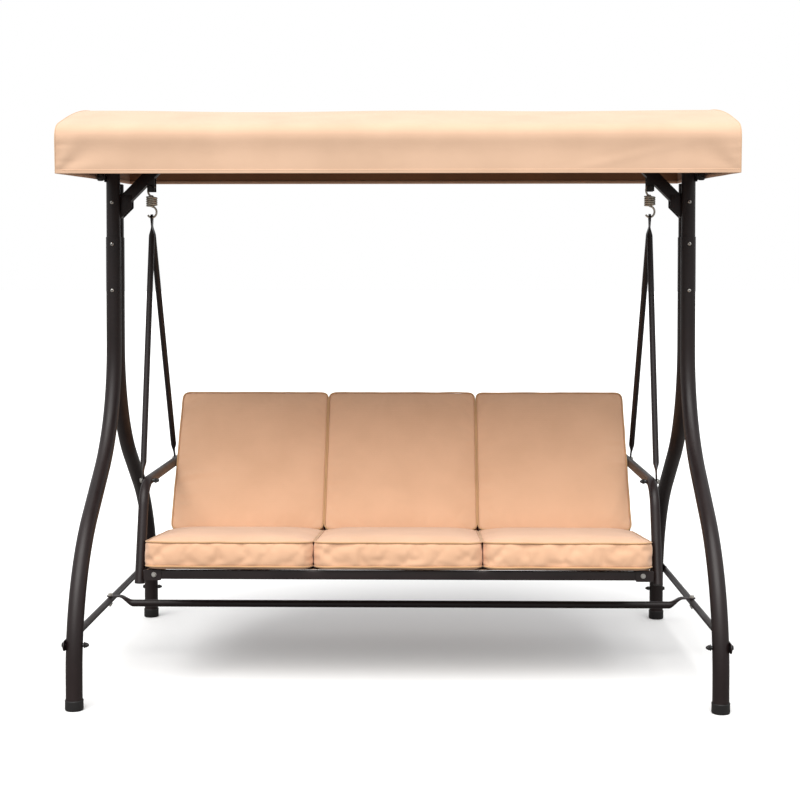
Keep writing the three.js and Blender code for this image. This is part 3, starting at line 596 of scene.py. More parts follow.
# %% Bevelled copies
def softened(node, width, body, corner_cut=None):
    """A copy of a node with dressed edges. corner_cut is a point and a direction; what lies beyond it goes."""
    bm = bmesh.new()
    bm.from_mesh(frame["nodes"][node].data)
    bmesh.ops.remove_doubles(bm, verts=bm.verts, dist=2e-5)
    bmesh.ops.dissolve_limit(bm, angle_limit=math.radians(2), verts=bm.verts, edges=bm.edges)
    if corner_cut:
        everything = [*bm.verts, *bm.edges, *bm.faces]
        cut = bmesh.ops.bisect_plane(bm, geom=everything, plane_co=corner_cut[0], plane_no=corner_cut[1], clear_outer=True)
        bmesh.ops.edgenet_fill(bm, edges=[e for e in cut["geom_cut"] if isinstance(e, bmesh.types.BMEdge)])
        bmesh.ops.recalc_face_normals(bm, faces=bm.faces)
    sharp = [e for e in bm.edges if e.is_manifold and e.calc_face_angle(0) > math.radians(35)]
    bmesh.ops.bevel(bm, geom=sharp, offset=width, segments=2, profile=0.6, affect="EDGES", clamp_overlap=True)
    mesh = bpy.data.meshes.new(f"folded_{node}")
    bm.to_mesh(mesh)
    bm.free()
    piece = bpy.data.objects.new(f"folded_{node}", mesh)
    bpy.context.collection.objects.link(piece)
    mesh.materials.append(frame_paint)
    mesh.shade_smooth()
    mesh.set_sharp_from_angle(angle=math.radians(30))
    return fit(piece, body, node)

for node in ("top_beam", "diagonal_left", "diagonal_right"):
    softened(node, 0.0007, "stand")
for side_name, side in SIDES.items():
    low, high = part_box(f"gusset_{side_name}")
    tip = Vector((low.x if side > 0 else high.x, 0, low.z + 0.036))
    softened(f"gusset_{side_name}", 0.0006, "stand", (tip, Vector((-side, 0, -1)).normalized()))
    softened(f"canopy_bracket_{side_name}", 0.0006, "canopy")

# %% [markdown]
# ## Fasteners
# Zinc-plated screws hold the posts together from the front; plated bolts with washers and black cap
# nuts hold the braces, hangers and rails. Each is built from turned profiles and a chamfered hexagon,
# merged into one piece a fastener.

# %% Fastener parts
def joined(name, parts, body):
    bm = bmesh.new()
    slots = []
    for part in parts:
        material = part.data.materials[0]
        if material not in slots:
            slots.append(material)
        part.data.polygons.foreach_set("material_index", [slots.index(material)] * len(part.data.polygons))
        bm.from_mesh(part.data)
        bpy.data.objects.remove(part)
    mesh = bpy.data.meshes.new(name)
    bm.to_mesh(mesh)
    bm.free()
    piece = bpy.data.objects.new(name, mesh)
    bpy.context.collection.objects.link(piece)
    for material in slots:
        mesh.materials.append(material)
    mesh.shade_smooth()
    mesh.set_sharp_from_angle(angle=math.radians(35))
    return fit(piece, body)

def washer(place, axis, radius, material, thick=0.0012):
    profile = [(radius * 0.3, 0), (radius, 0), (radius, thick * 0.8), (radius * 0.96, thick), (radius * 0.3, thick)]
    return turned("washer", profile, place, axis, material)

def hexagon(place, axis, across, height, material):
    """A hexagon with its corners turned off above and below, as bolt heads and nuts are."""
    turn = Vector(axis).to_track_quat("Z", "Y").to_matrix()
    flat = across / 2
    corner = flat / math.cos(math.pi / 6)
    rings = []
    for reach, level in ((flat * 0.96, 0), (corner, height * 0.12), (corner, height * 0.86), (flat * 0.94, height)):
        ring = []
        for k in range(24):
            angle = 2 * math.pi * k / 24
            hexed = flat / math.cos((angle + math.pi / 6) % (math.pi / 3) - math.pi / 6)
            radius = min(hexed, reach)
            ring.append(turn @ Vector((math.cos(angle) * radius, math.sin(angle) * radius, level)) + Vector(place))
        rings.append(ring)
    verts, faces = bridge(rings)
    return new_piece("hexagon", verts, faces, material, 25)

def pan_screw(name, place, axis, body, radius=0.0058):
    """A domed screw head on a painted washer; a small black hexagon on top of the dome paints the shade of a driver
    socket, which is not cut.
    """
    place, axis = Vector(place), Vector(axis)
    seat = turned("seat", [(radius * 0.3, 0), (radius * 1.35, 0), (radius * 1.3, 0.0009), (radius * 0.3, 0.0009)],
                  place, axis, frame_paint)
    head = turned("head", [(radius, 0)] + dome(radius, radius * 0.55, 0.0007), place + axis * 0.0009, axis, zinc)
    # Painted shade: a black hexagon laid on the dome stands for the dark inside a driver socket.
    socket_shade_disc = turned("socket_shade_disc", [(radius * 0.36, -0.0006), (radius * 0.34, 0), (radius * 0.1, 0.0001)],
                    place + axis * (0.0017 + radius * 0.54), axis, black_plastic, sides=6)
    return joined(name, [head, seat, socket_shade_disc], body)

def hex_bolt(name, head_place, axis, grip, body, across=0.013, head=None, nut=None, cap=False, shaft=0.004, stem=0.0):
    """Head at head_place and nut grip away, the other way from axis; stem holds the nut off, on a spacer."""
    head, nut = head or zinc, nut or zinc
    head_place, axis = Vector(head_place), Vector(axis).normalized()
    nut_place = head_place - axis * (grip + stem)
    height = across * 0.48
    parts = [hexagon(head_place + axis * 0.0012, axis, across, height, head), washer(head_place, axis, across * 0.72, head)]
    parts.append(turned("shaft", [(shaft, 0), (shaft, grip + stem + 0.001)], nut_place, axis, head))
    if stem:
        parts.append(turned("spacer", [(shaft * 1.5, 0), (shaft * 1.5, stem)], nut_place, axis, nut))
    parts.append(washer(nut_place, -axis, across * 0.72, nut))
    parts.append(hexagon(nut_place - axis * 0.0012, -axis, across, height, nut))
    top = nut_place - axis * (0.0012 + height)
    if cap:
        parts.append(turned("cap", [(across * 0.44, -0.001)] + dome(across * 0.44, across * 0.5, 0.0), top, -axis, nut))
    else:
        parts.append(turned("tail", [(shaft * 0.9, 0), (shaft * 0.9, 0.003), (shaft * 0.6, 0.0042)], top, -axis, nut))
    return joined(name, parts, body)

# %% Fit the stand's fasteners
POST_SCREW_HEIGHTS = (1.476, 1.343, 1.195)
LOW_BOLT_HEIGHT = 0.110
brace_x, _, brace_z = middle("side_brace_right")
post_radius = extent("post_front_right").x / 2
for side_name, side in SIDES.items():
    for number, height in enumerate(POST_SCREW_HEIGHTS, start=1):
        radius = post_radius if height > leg_top else leg_radius
        pan_screw(f"post_screw_{side_name}_{number}", (side * leg_x, -post_y - radius + 0.0006, height), (0, -1, 0), "stand")
        nut = hexagon((side * leg_x, post_y + radius - 0.0006, height), (0, 1, 0), 0.011, 0.005, zinc)
        joined(f"post_nut_{side_name}_{number}", [nut], "stand")
    for end_name, end in ENDS.items():
        head = (side * (brace_x + STRAP / 2 + 0.0002), end * (foot_y - 0.0065), brace_z)
        hex_bolt(f"brace_bolt_{end_name}_{side_name}", head, (side, 0, 0), STRAP + 2 * leg_radius + 0.001, "stand",
                 head=black_plastic, nut=black_plastic, cap=True, stem=0.004)
    low_head = (side * (leg_x + leg_radius - 0.0004), foot_y, LOW_BOLT_HEIGHT)
    hex_bolt(f"low_bolt_{side_name}", low_head, (side, 0, 0), 2 * leg_radius - 0.0008, "stand", across=0.011,
             head=black_plastic, nut=black_plastic, cap=True, stem=0.004)
    top = (side * brace_x, bar_y, strap_z + STRAP / 2)
    hex_bolt(f"cross_bolt_{side_name}", top, (0, 0, 1), 2 * 0.0105 + STRAP + 0.0004, "stand", across=0.012)
    centre, long = middle(f"spring_bolt_{side_name}"), extent(f"spring_bolt_{side_name}").y
    grip = long - 2 * 0.0068
    bolt = hex_bolt(f"spring_bolt_screwed_{side_name}", centre - Vector((0, grip / 2, 0)), (0, -1, 0), grip, "stand",
                    across=0.0125, head=black_plastic, nut=black_plastic, shaft=0.0049)
    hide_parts(f"spring_bolt_{side_name}")
print("post screws, brace bolts, low bolts, cross bolts and spring bolts fitted")

# %% [markdown]
# ## The springs
# Each spring is one length of 6.5 mm wire: an open hook, five close turns and a second hook. The wire
# follows a line worked out turn by turn.

# %% Wound wire
WIRE = 0.00325
COIL = 0.01525
TURNS = 5
COIL_PITCH = 0.0068
UPPER_HOOK = (0.012, 0.017)
LOWER_HOOK = (0.01525, 0.0174)

def spring_line(top):
    """The wire's middle line below the height of its upper hook's top."""
    coil_top = top - 2 * UPPER_HOOK[1]
    coil_bottom = coil_top - TURNS * COIL_PITCH
    opening = math.radians(35)
    sweep = 1.5 * math.pi - opening
    points = []
    for k in range(29):
        angle = opening + sweep * k / 28
        points.append(Vector((UPPER_HOOK[0] * math.cos(angle), 0, coil_top + UPPER_HOOK[1] * (1 + math.sin(angle)))))
    per_turn = 28
    for k in range(1, TURNS * per_turn):
        angle = 2 * math.pi * k / per_turn
        growth = min(min(k, TURNS * per_turn - k) / (per_turn / 2), 1)
        height = coil_top + (coil_bottom - coil_top) * k / (TURNS * per_turn)
        points.append(Vector((COIL * growth * math.cos(angle), COIL * growth * math.sin(angle), height)))
    for k in range(29):
        angle = math.pi / 2 - sweep * k / 28
        points.append(Vector((LOWER_HOOK[0] * math.cos(angle), 0, coil_bottom - LOWER_HOOK[1] * (1 - math.sin(angle)))))
    return points

def rod(name, points, radius, material, sides=14):
    frames = line_frames(points)
    rings = [ring_at(frames[0], radius * 0.6, sides, along=-0.0006)]
    rings += [ring_at(f, radius, sides) for f in frames]
    rings.append(ring_at(frames[-1], radius * 0.6, sides, along=0.0006))
    verts, faces = bridge(rings)
    return new_piece(name, verts, faces, material)

for side_name, side in SIDES.items():
    low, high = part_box(f"spring_{side_name}")
    line = [p + Vector((side * spring_x, 0, 0)) for p in spring_line(high[2] - WIRE)]
    spring = rod(f"wound_spring_{side_name}", line, WIRE, spring_zinc)
    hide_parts(f"spring_{side_name}")
    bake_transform(spring)
print(f"spring {high[2] - low[2]:.3f} m long at rest, coil {2 * (COIL + WIRE) * 1000:.0f} mm wide")

# %% [markdown]
# ## Hangers
# Four tubes hang the bench, two on each spring's lower hook. Their ends are pressed flat and thin
# across the bench, so they bolt close against the arms. The top eyes are punched large enough for
# the hook's wire; a boolean cuts the eye clean through both faces of the strap.

# %% Hangers
ARM_HEIGHT = 0.605
HANGER_BOLTS = {"front": -0.200, "rear": 0.400}
HANGER_STRAP, HANGER_STRAP_WIDTH, EYE_RADIUS = 0.003, 0.027, 0.008
ARM_RADIUS = extent("arm_right").x / 2
hook_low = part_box("spring_right")[0].z
EYE_HEIGHT = hook_low + 2 * WIRE + 0.0015 - EYE_RADIUS
strap_outside = arm_x + ARM_RADIUS + 0.0003 + HANGER_STRAP / 2

def punched(piece, centre, axis, radius, depth):
    cutter = turned("cutter", [(radius, -depth), (radius, depth)], centre, axis, zinc, sides=32)
    boolean = piece.modifiers.new("eye", "BOOLEAN")
    boolean.object, boolean.operation, boolean.solver = cutter, "DIFFERENCE", "EXACT"
    baked = bpy.data.meshes.new_from_object(piece.evaluated_get(bpy.context.evaluated_depsgraph_get()))
    piece.modifiers.clear()
    piece.data = baked
    baked.set_sharp_from_angle(angle=math.radians(40))
    bpy.data.objects.remove(cutter)

for side_name, side in SIDES.items():
    for end_name, end in ENDS.items():
        node = f"hanger_{end_name}_{side_name}"
        eye = Vector((side * (spring_x + end * (HANGER_STRAP / 2 + 0.0003)), 0, EYE_HEIGHT))
        bolt = Vector((side * strap_outside, HANGER_BOLTS[end_name], ARM_HEIGHT))
        along = (Vector((0, eye.y, eye.z)) - Vector((0, bolt.y, bolt.z))).normalized()
        margin = along * HANGER_STRAP_WIDTH / 2
        hanger = strap_tube(f"pressed_{node}", bolt - margin, eye + margin, (1, 0, 0), 0.0095, HANGER_STRAP,
                            HANGER_STRAP_WIDTH, 0.042, 0.032)
        punched(hanger, eye, (1, 0, 0), EYE_RADIUS, 0.02)
        fit(hanger, "seat", node)
        head = bolt + Vector((side * (HANGER_STRAP / 2 + 0.0003), 0, 0))
        grip = 2 * ARM_RADIUS + HANGER_STRAP + 0.0009
        arm_bolt = hex_bolt(f"plated_arm_bolt_{end_name}_{side_name}", head, (side, 0, 0), grip, "seat",
                            across=0.0125, nut=black_plastic, cap=True, stem=0.006 if end_name == "front" else 0.0)
        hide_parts(f"arm_bolt_{end_name}_{side_name}")
print(f"hangers from the eyes at {EYE_HEIGHT:.3f} m to the arm bolts at {ARM_HEIGHT:.3f} m")

# %% [markdown]
# ## Arms
# Each arm is one 30 mm tube: it rises from the front of the seat, bends over an elbow and runs level
# past the back. Its open ends are closed with small black plugs.

# %% Arms
ARM_FOOT_Y, ARM_FOOT_Z = -0.350, 0.313
ARM_LEAN = math.radians(16.5)
ARM_BEND = 0.095
ARM_REAR = 0.432
elbow_y = ARM_FOOT_Y + (ARM_HEIGHT - ARM_FOOT_Z) * math.tan(ARM_LEAN)

def end_plug(name, place, axis, radius, body, height=0.003):
    profile = [(radius * 0.85, -0.010), (radius * 0.9, -0.0006), (radius, 0.0)] + dome(radius, height, 0.0006)
    plug = turned(name, profile, place, axis, black_plastic)
    return fit(plug, body)

for side_name, side in SIDES.items():
    corners = [(side * arm_x, ARM_FOOT_Y, ARM_FOOT_Z), (side * arm_x, elbow_y, ARM_HEIGHT),
               (side * arm_x, ARM_REAR - 0.003, ARM_HEIGHT)]
    arm = tube(f"bent_arm_{side_name}", rounded_line(corners, [ARM_BEND], 0.006), ARM_RADIUS, frame_paint, sides=32)
    fit(arm, "seat", f"arm_{side_name}")
    end_plug(f"arm_plug_rear_{side_name}", corners[2], (0, 1, 0), ARM_RADIUS, "seat", 0.0022)
    rising = (Vector(corners[1]) - Vector(corners[0])).normalized()
    end_plug(f"arm_plug_front_{side_name}", Vector(corners[0]) + rising * 0.001, -rising, ARM_RADIUS, "seat", 0.002)
print(f"arms {ARM_REAR - elbow_y:.3f} m long from the elbow")

# %% [markdown]
# ## The bench frame
# The seat and the back are two tube rectangles that lean on each other, with one square-cornered rail
# along the seat's front. Every place is measured in a frame that leans with its half of the bench.

# %% Bench tubes
SEAT_TILT, BACK_LEAN = math.radians(-4.84), math.radians(-32.25)

def leaning(node, angle):
    return Matrix.Translation(middle(node)) @ Matrix.Rotation(angle, 4, "X")

def tilted_tips(node, angle, radius, axis):
    """The two tips of a tube that lies along local Y or Z of a leaning frame."""
    size = extent(node).y if axis == "Y" else extent(node).z
    length = (size - 2 * radius * abs(math.sin(angle))) / math.cos(angle)
    along = Matrix.Rotation(angle, 3, "X") @ Vector((0, 1, 0) if axis == "Y" else (0, 0, 1))
    return [middle(node) - along * length / 2, middle(node) + along * length / 2]

def cross_tips(node):
    half = Vector((extent(node).x / 2, 0, 0))
    return [middle(node) - half, middle(node) + half]

BENCH_RADIUS = extent("seat_rail_rear").z / 2
bench_tubes = {
    "seat_rail_rear": cross_tips("seat_rail_rear"),
    "back_rail_top": cross_tips("back_rail_top"),
    **{f"seat_rail_{s}": tilted_tips(f"seat_rail_{s}", SEAT_TILT, BENCH_RADIUS, "Y") for s in SIDES},
    **{f"back_tube_{s}": tilted_tips(f"back_tube_{s}", BACK_LEAN, BENCH_RADIUS, "Z") for s in SIDES},
}
for node, tips in bench_tubes.items():
    fit(tube(f"bench_{node}", tips, BENCH_RADIUS, frame_paint), "seat", node)
for node in ("seat_rail_rear", "back_rail_top"):
    for side_name, side in SIDES.items():
        tip = bench_tubes[node][0 if side < 0 else 1]
        end_plug(f"{node}_plug_{side_name}", Vector(tip) - Vector((side * 0.0016, 0, 0)), (side, 0, 0),
                 BENCH_RADIUS * 0.97, "seat", 0.001)

# %% The front rail, with rounded corners
def rounded_rectangle(wide, high, corner, steps=5):
    outline = []
    for sx, sy, start in ((1, 1, 0), (-1, 1, 90), (-1, -1, 180), (1, -1, 270)):
        for k in range(steps + 1):
            angle = math.radians(start + 90 * k / steps)
            outline.append((sx * (wide / 2 - corner) + corner * math.cos(angle),
                            sy * (high / 2 - corner) + corner * math.sin(angle)))
    return outline

RAIL_DEPTH, RAIL_HEIGHT = 0.020, 0.027
rail_frame = leaning("seat_rail_front", SEAT_TILT)
rail_half = extent("seat_rail_front").x / 2
rings = []
for x, shrink, corner in ((-rail_half + 0.03, 0.003, 0.0015), (-rail_half, 0.003, 0.0015), (-rail_half, 0, 0.003),
                          (rail_half, 0, 0.003), (rail_half, 0.003, 0.0015), (rail_half - 0.03, 0.003, 0.0015)):
    outline = rounded_rectangle(RAIL_DEPTH - shrink, RAIL_HEIGHT - shrink, corner)
    rings.append([rail_frame @ Vector((x, a, b)) for a, b in outline])
verts, faces = bridge(rings)
front_rail = new_piece("rolled_front_rail", verts, faces, frame_paint, 25)
fit(front_rail, "seat", "seat_rail_front")

# %% Plates where the rails meet the arms
def plate(name, frame_here, wide, high, thick, corner, material=None):
    """A flat plate in the local X-Z plane, facing local -Y, with dressed edges."""
    rings = []
    for y, shrink in ((0, 0.0008), (-0.0004, 0), (-thick + 0.0004, 0), (-thick, 0.0008)):
        outline = rounded_rectangle(wide - shrink, high - shrink, corner)
        rings.append([frame_here @ Vector((a, y, b)) for a, b in outline])
    verts, faces = bridge(rings)
    return new_piece(name, verts, faces, material or frame_paint, 25)

JOINT_CAP = Vector((0.785, 0.236, 0.387))
for side_name, side in SIDES.items():
    here = rail_frame @ Matrix.Translation((side * (rail_half - 0.028), -RAIL_DEPTH / 2 - 0.0002, -0.001))
    fit(plate(f"rail_bracket_{side_name}", here, 0.052, 0.032, 0.0025, 0.004), "seat")
    forward = rail_frame.to_3x3() @ Vector((0, -1, 0))
    hex_bolt(f"rail_bolt_{side_name}", here @ Vector((side * -0.004, -0.0027, 0.001)), forward, RAIL_DEPTH + 0.0055, "seat",
             across=0.0105)
    # The back's side tube is pinned to the seat's rear corner through a flat link.
    link_low, link_high = middle("seat_rail_rear"), Vector((0, JOINT_CAP.y, JOINT_CAP.z))
    link = strap_tube(f"back_link_{side_name}", (side * 0.7650, link_low.y - 0.012, link_low.z - 0.002),
                      (side * 0.7650, link_high.y + 0.006, link_high.z + 0.012), (1, 0, 0), 0.0013, 0.0024, 0.026, 0.030, 0.010)
    fit(link, "seat")
    cap = turned(f"joint_cap_{side_name}", [(0.006, 0)] + dome(0.0085, 0.007, 0.003),
                 (side * 0.7663, JOINT_CAP.y, JOINT_CAP.z), (side, 0, 0), black_plastic)
    fit(cap, "seat")
print("front brackets, back links and their caps fitted")

# %% [markdown]
# ## Slings
# A tan mesh is stretched over the seat and the back. Each side is sewn into a sleeve round its tube,
# so the sheet's outline, seen from its end, is a long flat run with a loop at each side. That outline
# is carried along the tubes, and a thin solidify gives it its real thickness.

# %% Slings
SLING_THICK = 0.0012
SLEEVE_INWARD = 0.040

def thickened(piece, thick, offset=0.0, painted_shade_back=None):
    """Turns a surface into a thin solid; the optional last argument is a second material for its back, used on the
    canopy to paint the shade under it.
    """
    solid = piece.modifiers.new("thickness", "SOLIDIFY")
    solid.thickness, solid.offset, solid.use_even_offset = thick, offset, True
    if painted_shade_back:
        piece.data.materials.append(painted_shade_back)
        solid.material_offset = 1
    baked = bpy.data.meshes.new_from_object(piece.evaluated_get(bpy.context.evaluated_depsgraph_get()))
    piece.modifiers.clear()
    piece.data = baked

def grid_piece(name, rows, material, smooth_angle=60):
    wide = len(rows[0])
    verts = [v for row in rows for v in row]
    faces = [(r * wide + c, r * wide + c + 1, (r + 1) * wide + c + 1, (r + 1) * wide + c)
             for r in range(len(rows) - 1) for c in range(wide - 1)]
    return new_piece(name, verts, faces, material, smooth_angle)

def sling(node, frame_here, length, tube_x, drop):
    """drop is how far the tubes' middles lie behind the sheet, along local -Z of frame_here."""
    radius = drop
    section = [(-tube_x + SLEEVE_INWARD, -2 * SLING_THICK)]
    section += [(-tube_x + SLEEVE_INWARD * 0.6, -2 * SLING_THICK - 0.0015), (-tube_x + radius * 0.9, -drop - radius * 0.44)]
    for k in range(13):
        angle = math.radians(-60 - 210 * k / 12)
        section.append((-tube_x + radius * math.cos(angle), -drop + radius * math.sin(angle)))
    flat_run = 60
    across = [(-tube_x + 2 * tube_x * k / flat_run, 0.0) for k in range(1, flat_run)]
    full = section + across + [(-x, z) for x, z in reversed(section)]
    count = round(length / 0.02)
    rows = []
    for k in range(count + 1):
        along = -length / 2 + length * k / count
        row = []
        for x, z in full:
            ripple = 0.0004 * math.sin(9 * x / tube_x + 5 * along / length) if z == 0 else 0
            row.append(frame_here @ Vector((x, along, z + ripple)))
        rows.append(row)
    piece = grid_piece(f"woven_{node}", rows, sling_mesh)
    thickened(piece, SLING_THICK)
    fit(piece, "seat", node)
    return piece

seat_frame = leaning("seat_sling", SEAT_TILT)
back_frame = leaning("back_sling", BACK_LEAN) @ Matrix.Rotation(math.pi / 2, 4, "X")
tube_x = middle("seat_rail_right").x
seat_long = (extent("seat_sling").y - 0.0025 * abs(math.sin(SEAT_TILT))) / math.cos(SEAT_TILT)
back_long = (extent("back_sling").z - 0.0025 * abs(math.sin(BACK_LEAN))) / math.cos(BACK_LEAN)
seat_drop = abs((seat_frame.inverted() @ middle("seat_rail_right")).z)
back_drop = abs((back_frame.inverted() @ middle("back_tube_right")).z)
sling("seat_sling", seat_frame, seat_long, tube_x, seat_drop)
sling("back_sling", back_frame, back_long, tube_x, back_drop)

# %% [markdown]
# ## Cushions
# Each cushion is a foam block in a sewn cover: a top and a bottom panel joined to a strip of boxing by
# two piped seams. The seams hold while the cloth between them swells, so the panels crown, the boxing
# puckers, and the corners round off. That is made with Blender's cloth: a grid shaped like the cover,
# its seam points pinned with a slight waviness, its panels cut a little large, and air pressure inside.
# Movement is held back smoothly so the block keeps its size, then one subdivision smooths the folds.

# %% The cover's grid
CELL = 0.010

def on_outline(u, v, half_w, half_d, corner):
    """A point of the unit square's edge, moved onto a rounded rectangle."""
    x, y = u * half_w, v * half_d
    over_x, over_y = abs(x) - (half_w - corner), abs(y) - (half_d - corner)
    if over_x > 0 and over_y > 0:
        if abs(u) >= abs(v):
            angle = math.radians(45) * over_y / corner
        else:
            angle = math.radians(90) - math.radians(45) * over_x / corner
        x = math.copysign(half_w - corner + corner * math.cos(angle), x)
        y = math.copysign(half_d - corner + corner * math.sin(angle), y)
    return x, y

def plan_point(i, j, nx, ny, half_w, half_d, corner):
    u, v = 2 * i / nx - 1, 2 * j / ny - 1
    reach = max(abs(u), abs(v))
    if reach < 1e-9:
        return 0.0, 0.0, 0.0
    x, y = on_outline(u / reach, v / reach, half_w, half_d, corner)
    square_x, square_y = u * half_w, v * half_d
    blend = ease(reach)
    return (square_x + (x * reach - square_x) * blend, square_y + (y * reach - square_y) * blend, reach)

def cover_grid(half_w, half_d, corner, top_seam, bottom_seam, crown_top, crown_bottom):
    """Verts and faces of a closed cover, with the two seams as lists of vertex numbers in order."""
    nx, ny = round(2 * half_w / CELL), round(2 * half_d / CELL)
    nz = round((top_seam - bottom_seam) / CELL)
    verts, number = [], {}
    def add(key, place):
        number[key] = len(verts)
        verts.append(place)
    def swell(x, y, reach, height, rise):
        edge = min(half_w - abs(x), half_d - abs(y)) if reach < 1 else 0
        return height * (1 - math.exp(-max(edge, 0) / rise))
    for j in range(ny + 1):
        for i in range(nx + 1):
            x, y, reach = plan_point(i, j, nx, ny, half_w, half_d, corner)
            add(("top", i, j), (x, y, top_seam + swell(x, y, reach, crown_top, 0.035)))
            add(("low", i, j), (x, y, bottom_seam - swell(x, y, reach, crown_bottom, 0.014)))
    rim = [(i, 0) for i in range(nx)] + [(nx, j) for j in range(ny)]
    rim += [(i, ny) for i in range(nx, 0, -1)] + [(0, j) for j in range(ny, 0, -1)]
    for level in range(1, nz):
        share = level / nz
        for i, j in rim:
            x, y, _ = plan_point(i, j, nx, ny, half_w, half_d, corner)
            bulge = 1 + 0.004 * math.sin(math.pi * share)
            add((level, i, j), (x * bulge, y * bulge, bottom_seam + (top_seam - bottom_seam) * share))
    for i, j in rim:
        number[(0, i, j)] = number[("low", i, j)]
        number[(nz, i, j)] = number[("top", i, j)]
    faces = []
    for j in range(ny):
        for i in range(nx):
            corners = ((i, j), (i + 1, j), (i + 1, j + 1), (i, j + 1))
            faces.append(tuple(number[("top", a, b)] for a, b in corners))
            faces.append(tuple(number[("low", a, b)] for a, b in reversed(corners)))
    for level in range(nz):
        for k in range(len(rim)):
            here, after = rim[k], rim[(k + 1) % len(rim)]
            faces.append((number[(level, *here)], number[(level, *after)],
                          number[(level + 1, *after)], number[(level + 1, *here)]))
    seams = [[number[("low", i, j)] for i, j in rim], [number[("top", i, j)] for i, j in rim]]
    boxing = [number[(level, i, j)] for level in range(1, nz) for i, j in rim]
    return verts, faces, seams, boxing

# %% Swell it with cloth
def swollen(piece, seams, boxing, pressure=4.0):
    pins = piece.vertex_groups.new(name="seams")
    pins.add(seams[0] + seams[1], 1.0, "REPLACE")
    ease_group = piece.vertex_groups.new(name="panels")
    ease_group.add([v.index for v in piece.data.vertices], 1.0, "REPLACE")
    ease_group.add(boxing + seams[0] + seams[1], 0.0, "REPLACE")
    cloth_part = piece.modifiers.new("swell", "CLOTH")
    settings = cloth_part.settings
    settings.quality = 4
    settings.mass = 0.2
    settings.tension_stiffness = settings.compression_stiffness = 12
    settings.shear_stiffness = 6
    settings.bending_stiffness = 0.35
    settings.vertex_group_mass = "seams"
    settings.pin_stiffness = 1
    settings.vertex_group_shrink = "panels"
    settings.shrink_min, settings.shrink_max = -0.05, -0.012
    settings.use_pressure = True
    settings.uniform_pressure_force = pressure
    settings.effector_weights.gravity = 0
    cloth_part.collision_settings.use_collision = False
    cloth_part.point_cache.frame_start, cloth_part.point_cache.frame_end = 1, 20
    scene = bpy.context.scene
    for step in range(1, 21):
        scene.frame_set(step)
    evaluated = piece.evaluated_get(bpy.context.evaluated_depsgraph_get())
    places = [v.co.copy() for v in evaluated.data.vertices]
    piece.modifiers.clear()
    scene.frame_set(1)
    return places

def crease_at(u, v, start_u, start_v, slope, long, wide, high):
    """A soft fold from a side seam: a ridge with a dip beside it, fading out along its run. In half sizes."""
    inward = (start_u - u) * math.copysign(1, start_u)
    if inward < -0.01 or inward > long:
        return 0.0
    across = (v - start_v - slope * inward) / wide
    fade = ease(inward / 0.05) * ease(1 - inward / long)
    return high * fade * (math.exp(-across * across) - 0.7 * math.exp(-(across + 1.6) ** 2))

def held_back(move, cap):
    length = move.length
    return move if length < 1e-9 else move * (cap * math.tanh(length / cap) / length)

# %% Sew a cushion
def cushion(node, frame_here, size, corner, top_gap, bottom_gap, crown, belly, creases, seed):
    half_w, half_d, thick = size[0] / 2 - 0.002, size[1] / 2 - 0.002, size[2]
    top_seam, bottom_seam = thick / 2 - top_gap, -thick / 2 + bottom_gap
    verts, faces, seams, boxing = cover_grid(half_w, half_d, corner, top_seam, bottom_seam, crown * 0.6, belly)
    drift = Vector((seed * 3.1, seed * 1.7, seed * 5.3))
    for line in seams:
        for index in line:
            place = Vector(verts[index])
            wave = noise.noise_vector(place * 16 + drift) * 0.0013 + noise.noise_vector(place * 55 + drift) * 0.0004
            verts[index] = tuple(place + wave)
    piece = new_piece(f"sewn_{node}", verts, faces, cushion_cloth, 180)
    start = [v.co.copy() for v in piece.data.vertices]
    places = swollen(piece, seams, boxing)
    side_set = set(boxing)
    limit_x, limit_y = size[0] / 2 + 0.0003, size[1] / 2 + 0.004
    low = -thick / 2
    for index, vertex in enumerate(piece.data.vertices):
        move = held_back(places[index] - start[index], 0.006 if index in side_set else 0.013)
        x, y, z = start[index] + move
        x = max(-limit_x, min(limit_x, x))
        y = max(-limit_y, min(limit_y, y))
        if z > top_seam:
            z += sum(crease_at(x / half_w, y / half_d, *crease) for crease in creases)
        vertex.co = (x, y, max(z, low))
    piece.data.transform(frame_here)
    smooth = piece.modifiers.new("smooth", "SUBSURF")
    smooth.levels = smooth.render_levels = 1
    seam_lines = [[piece.data.vertices[i].co.copy() for i in line] for line in seams]
    baked = bpy.data.meshes.new_from_object(piece.evaluated_get(bpy.context.evaluated_depsgraph_get()))
    piece.modifiers.clear()
    piece.vertex_groups.clear()
    piece.data = baked
    baked.shade_smooth()
    fit(piece, "seat", node)
    middle_here = frame_here.translation
    for title, line in zip(("lower", "upper"), seam_lines):
        loop = []
        count = len(line)
        for k, point in enumerate(line):
            smoothed = (line[k - 1] + point * 2 + line[(k + 1) % count]) / 4
            outward = (smoothed - middle_here)
            local = frame_here.to_3x3().inverted() @ outward
            flat = Vector((local.x / half_w, local.y / half_d, 0))
            flat = Vector((flat.x ** 7, flat.y ** 7, 0)).normalized()
            loop.append(smoothed + frame_here.to_3x3() @ flat * 0.0003)
        fit(beaded_line(f"piping_{title}_{node}", loop, 0.0027, piping_painted_shade_cloth), "seat")
    return piece

SEAT_SIZE, BACK_SIZE = (0.4850, 0.0820), (0.5160, 0.0850)
SEAT_CORNER, BACK_CORNER = 0.042, 0.018
cushion_width = extent("seat_cushion_middle").x
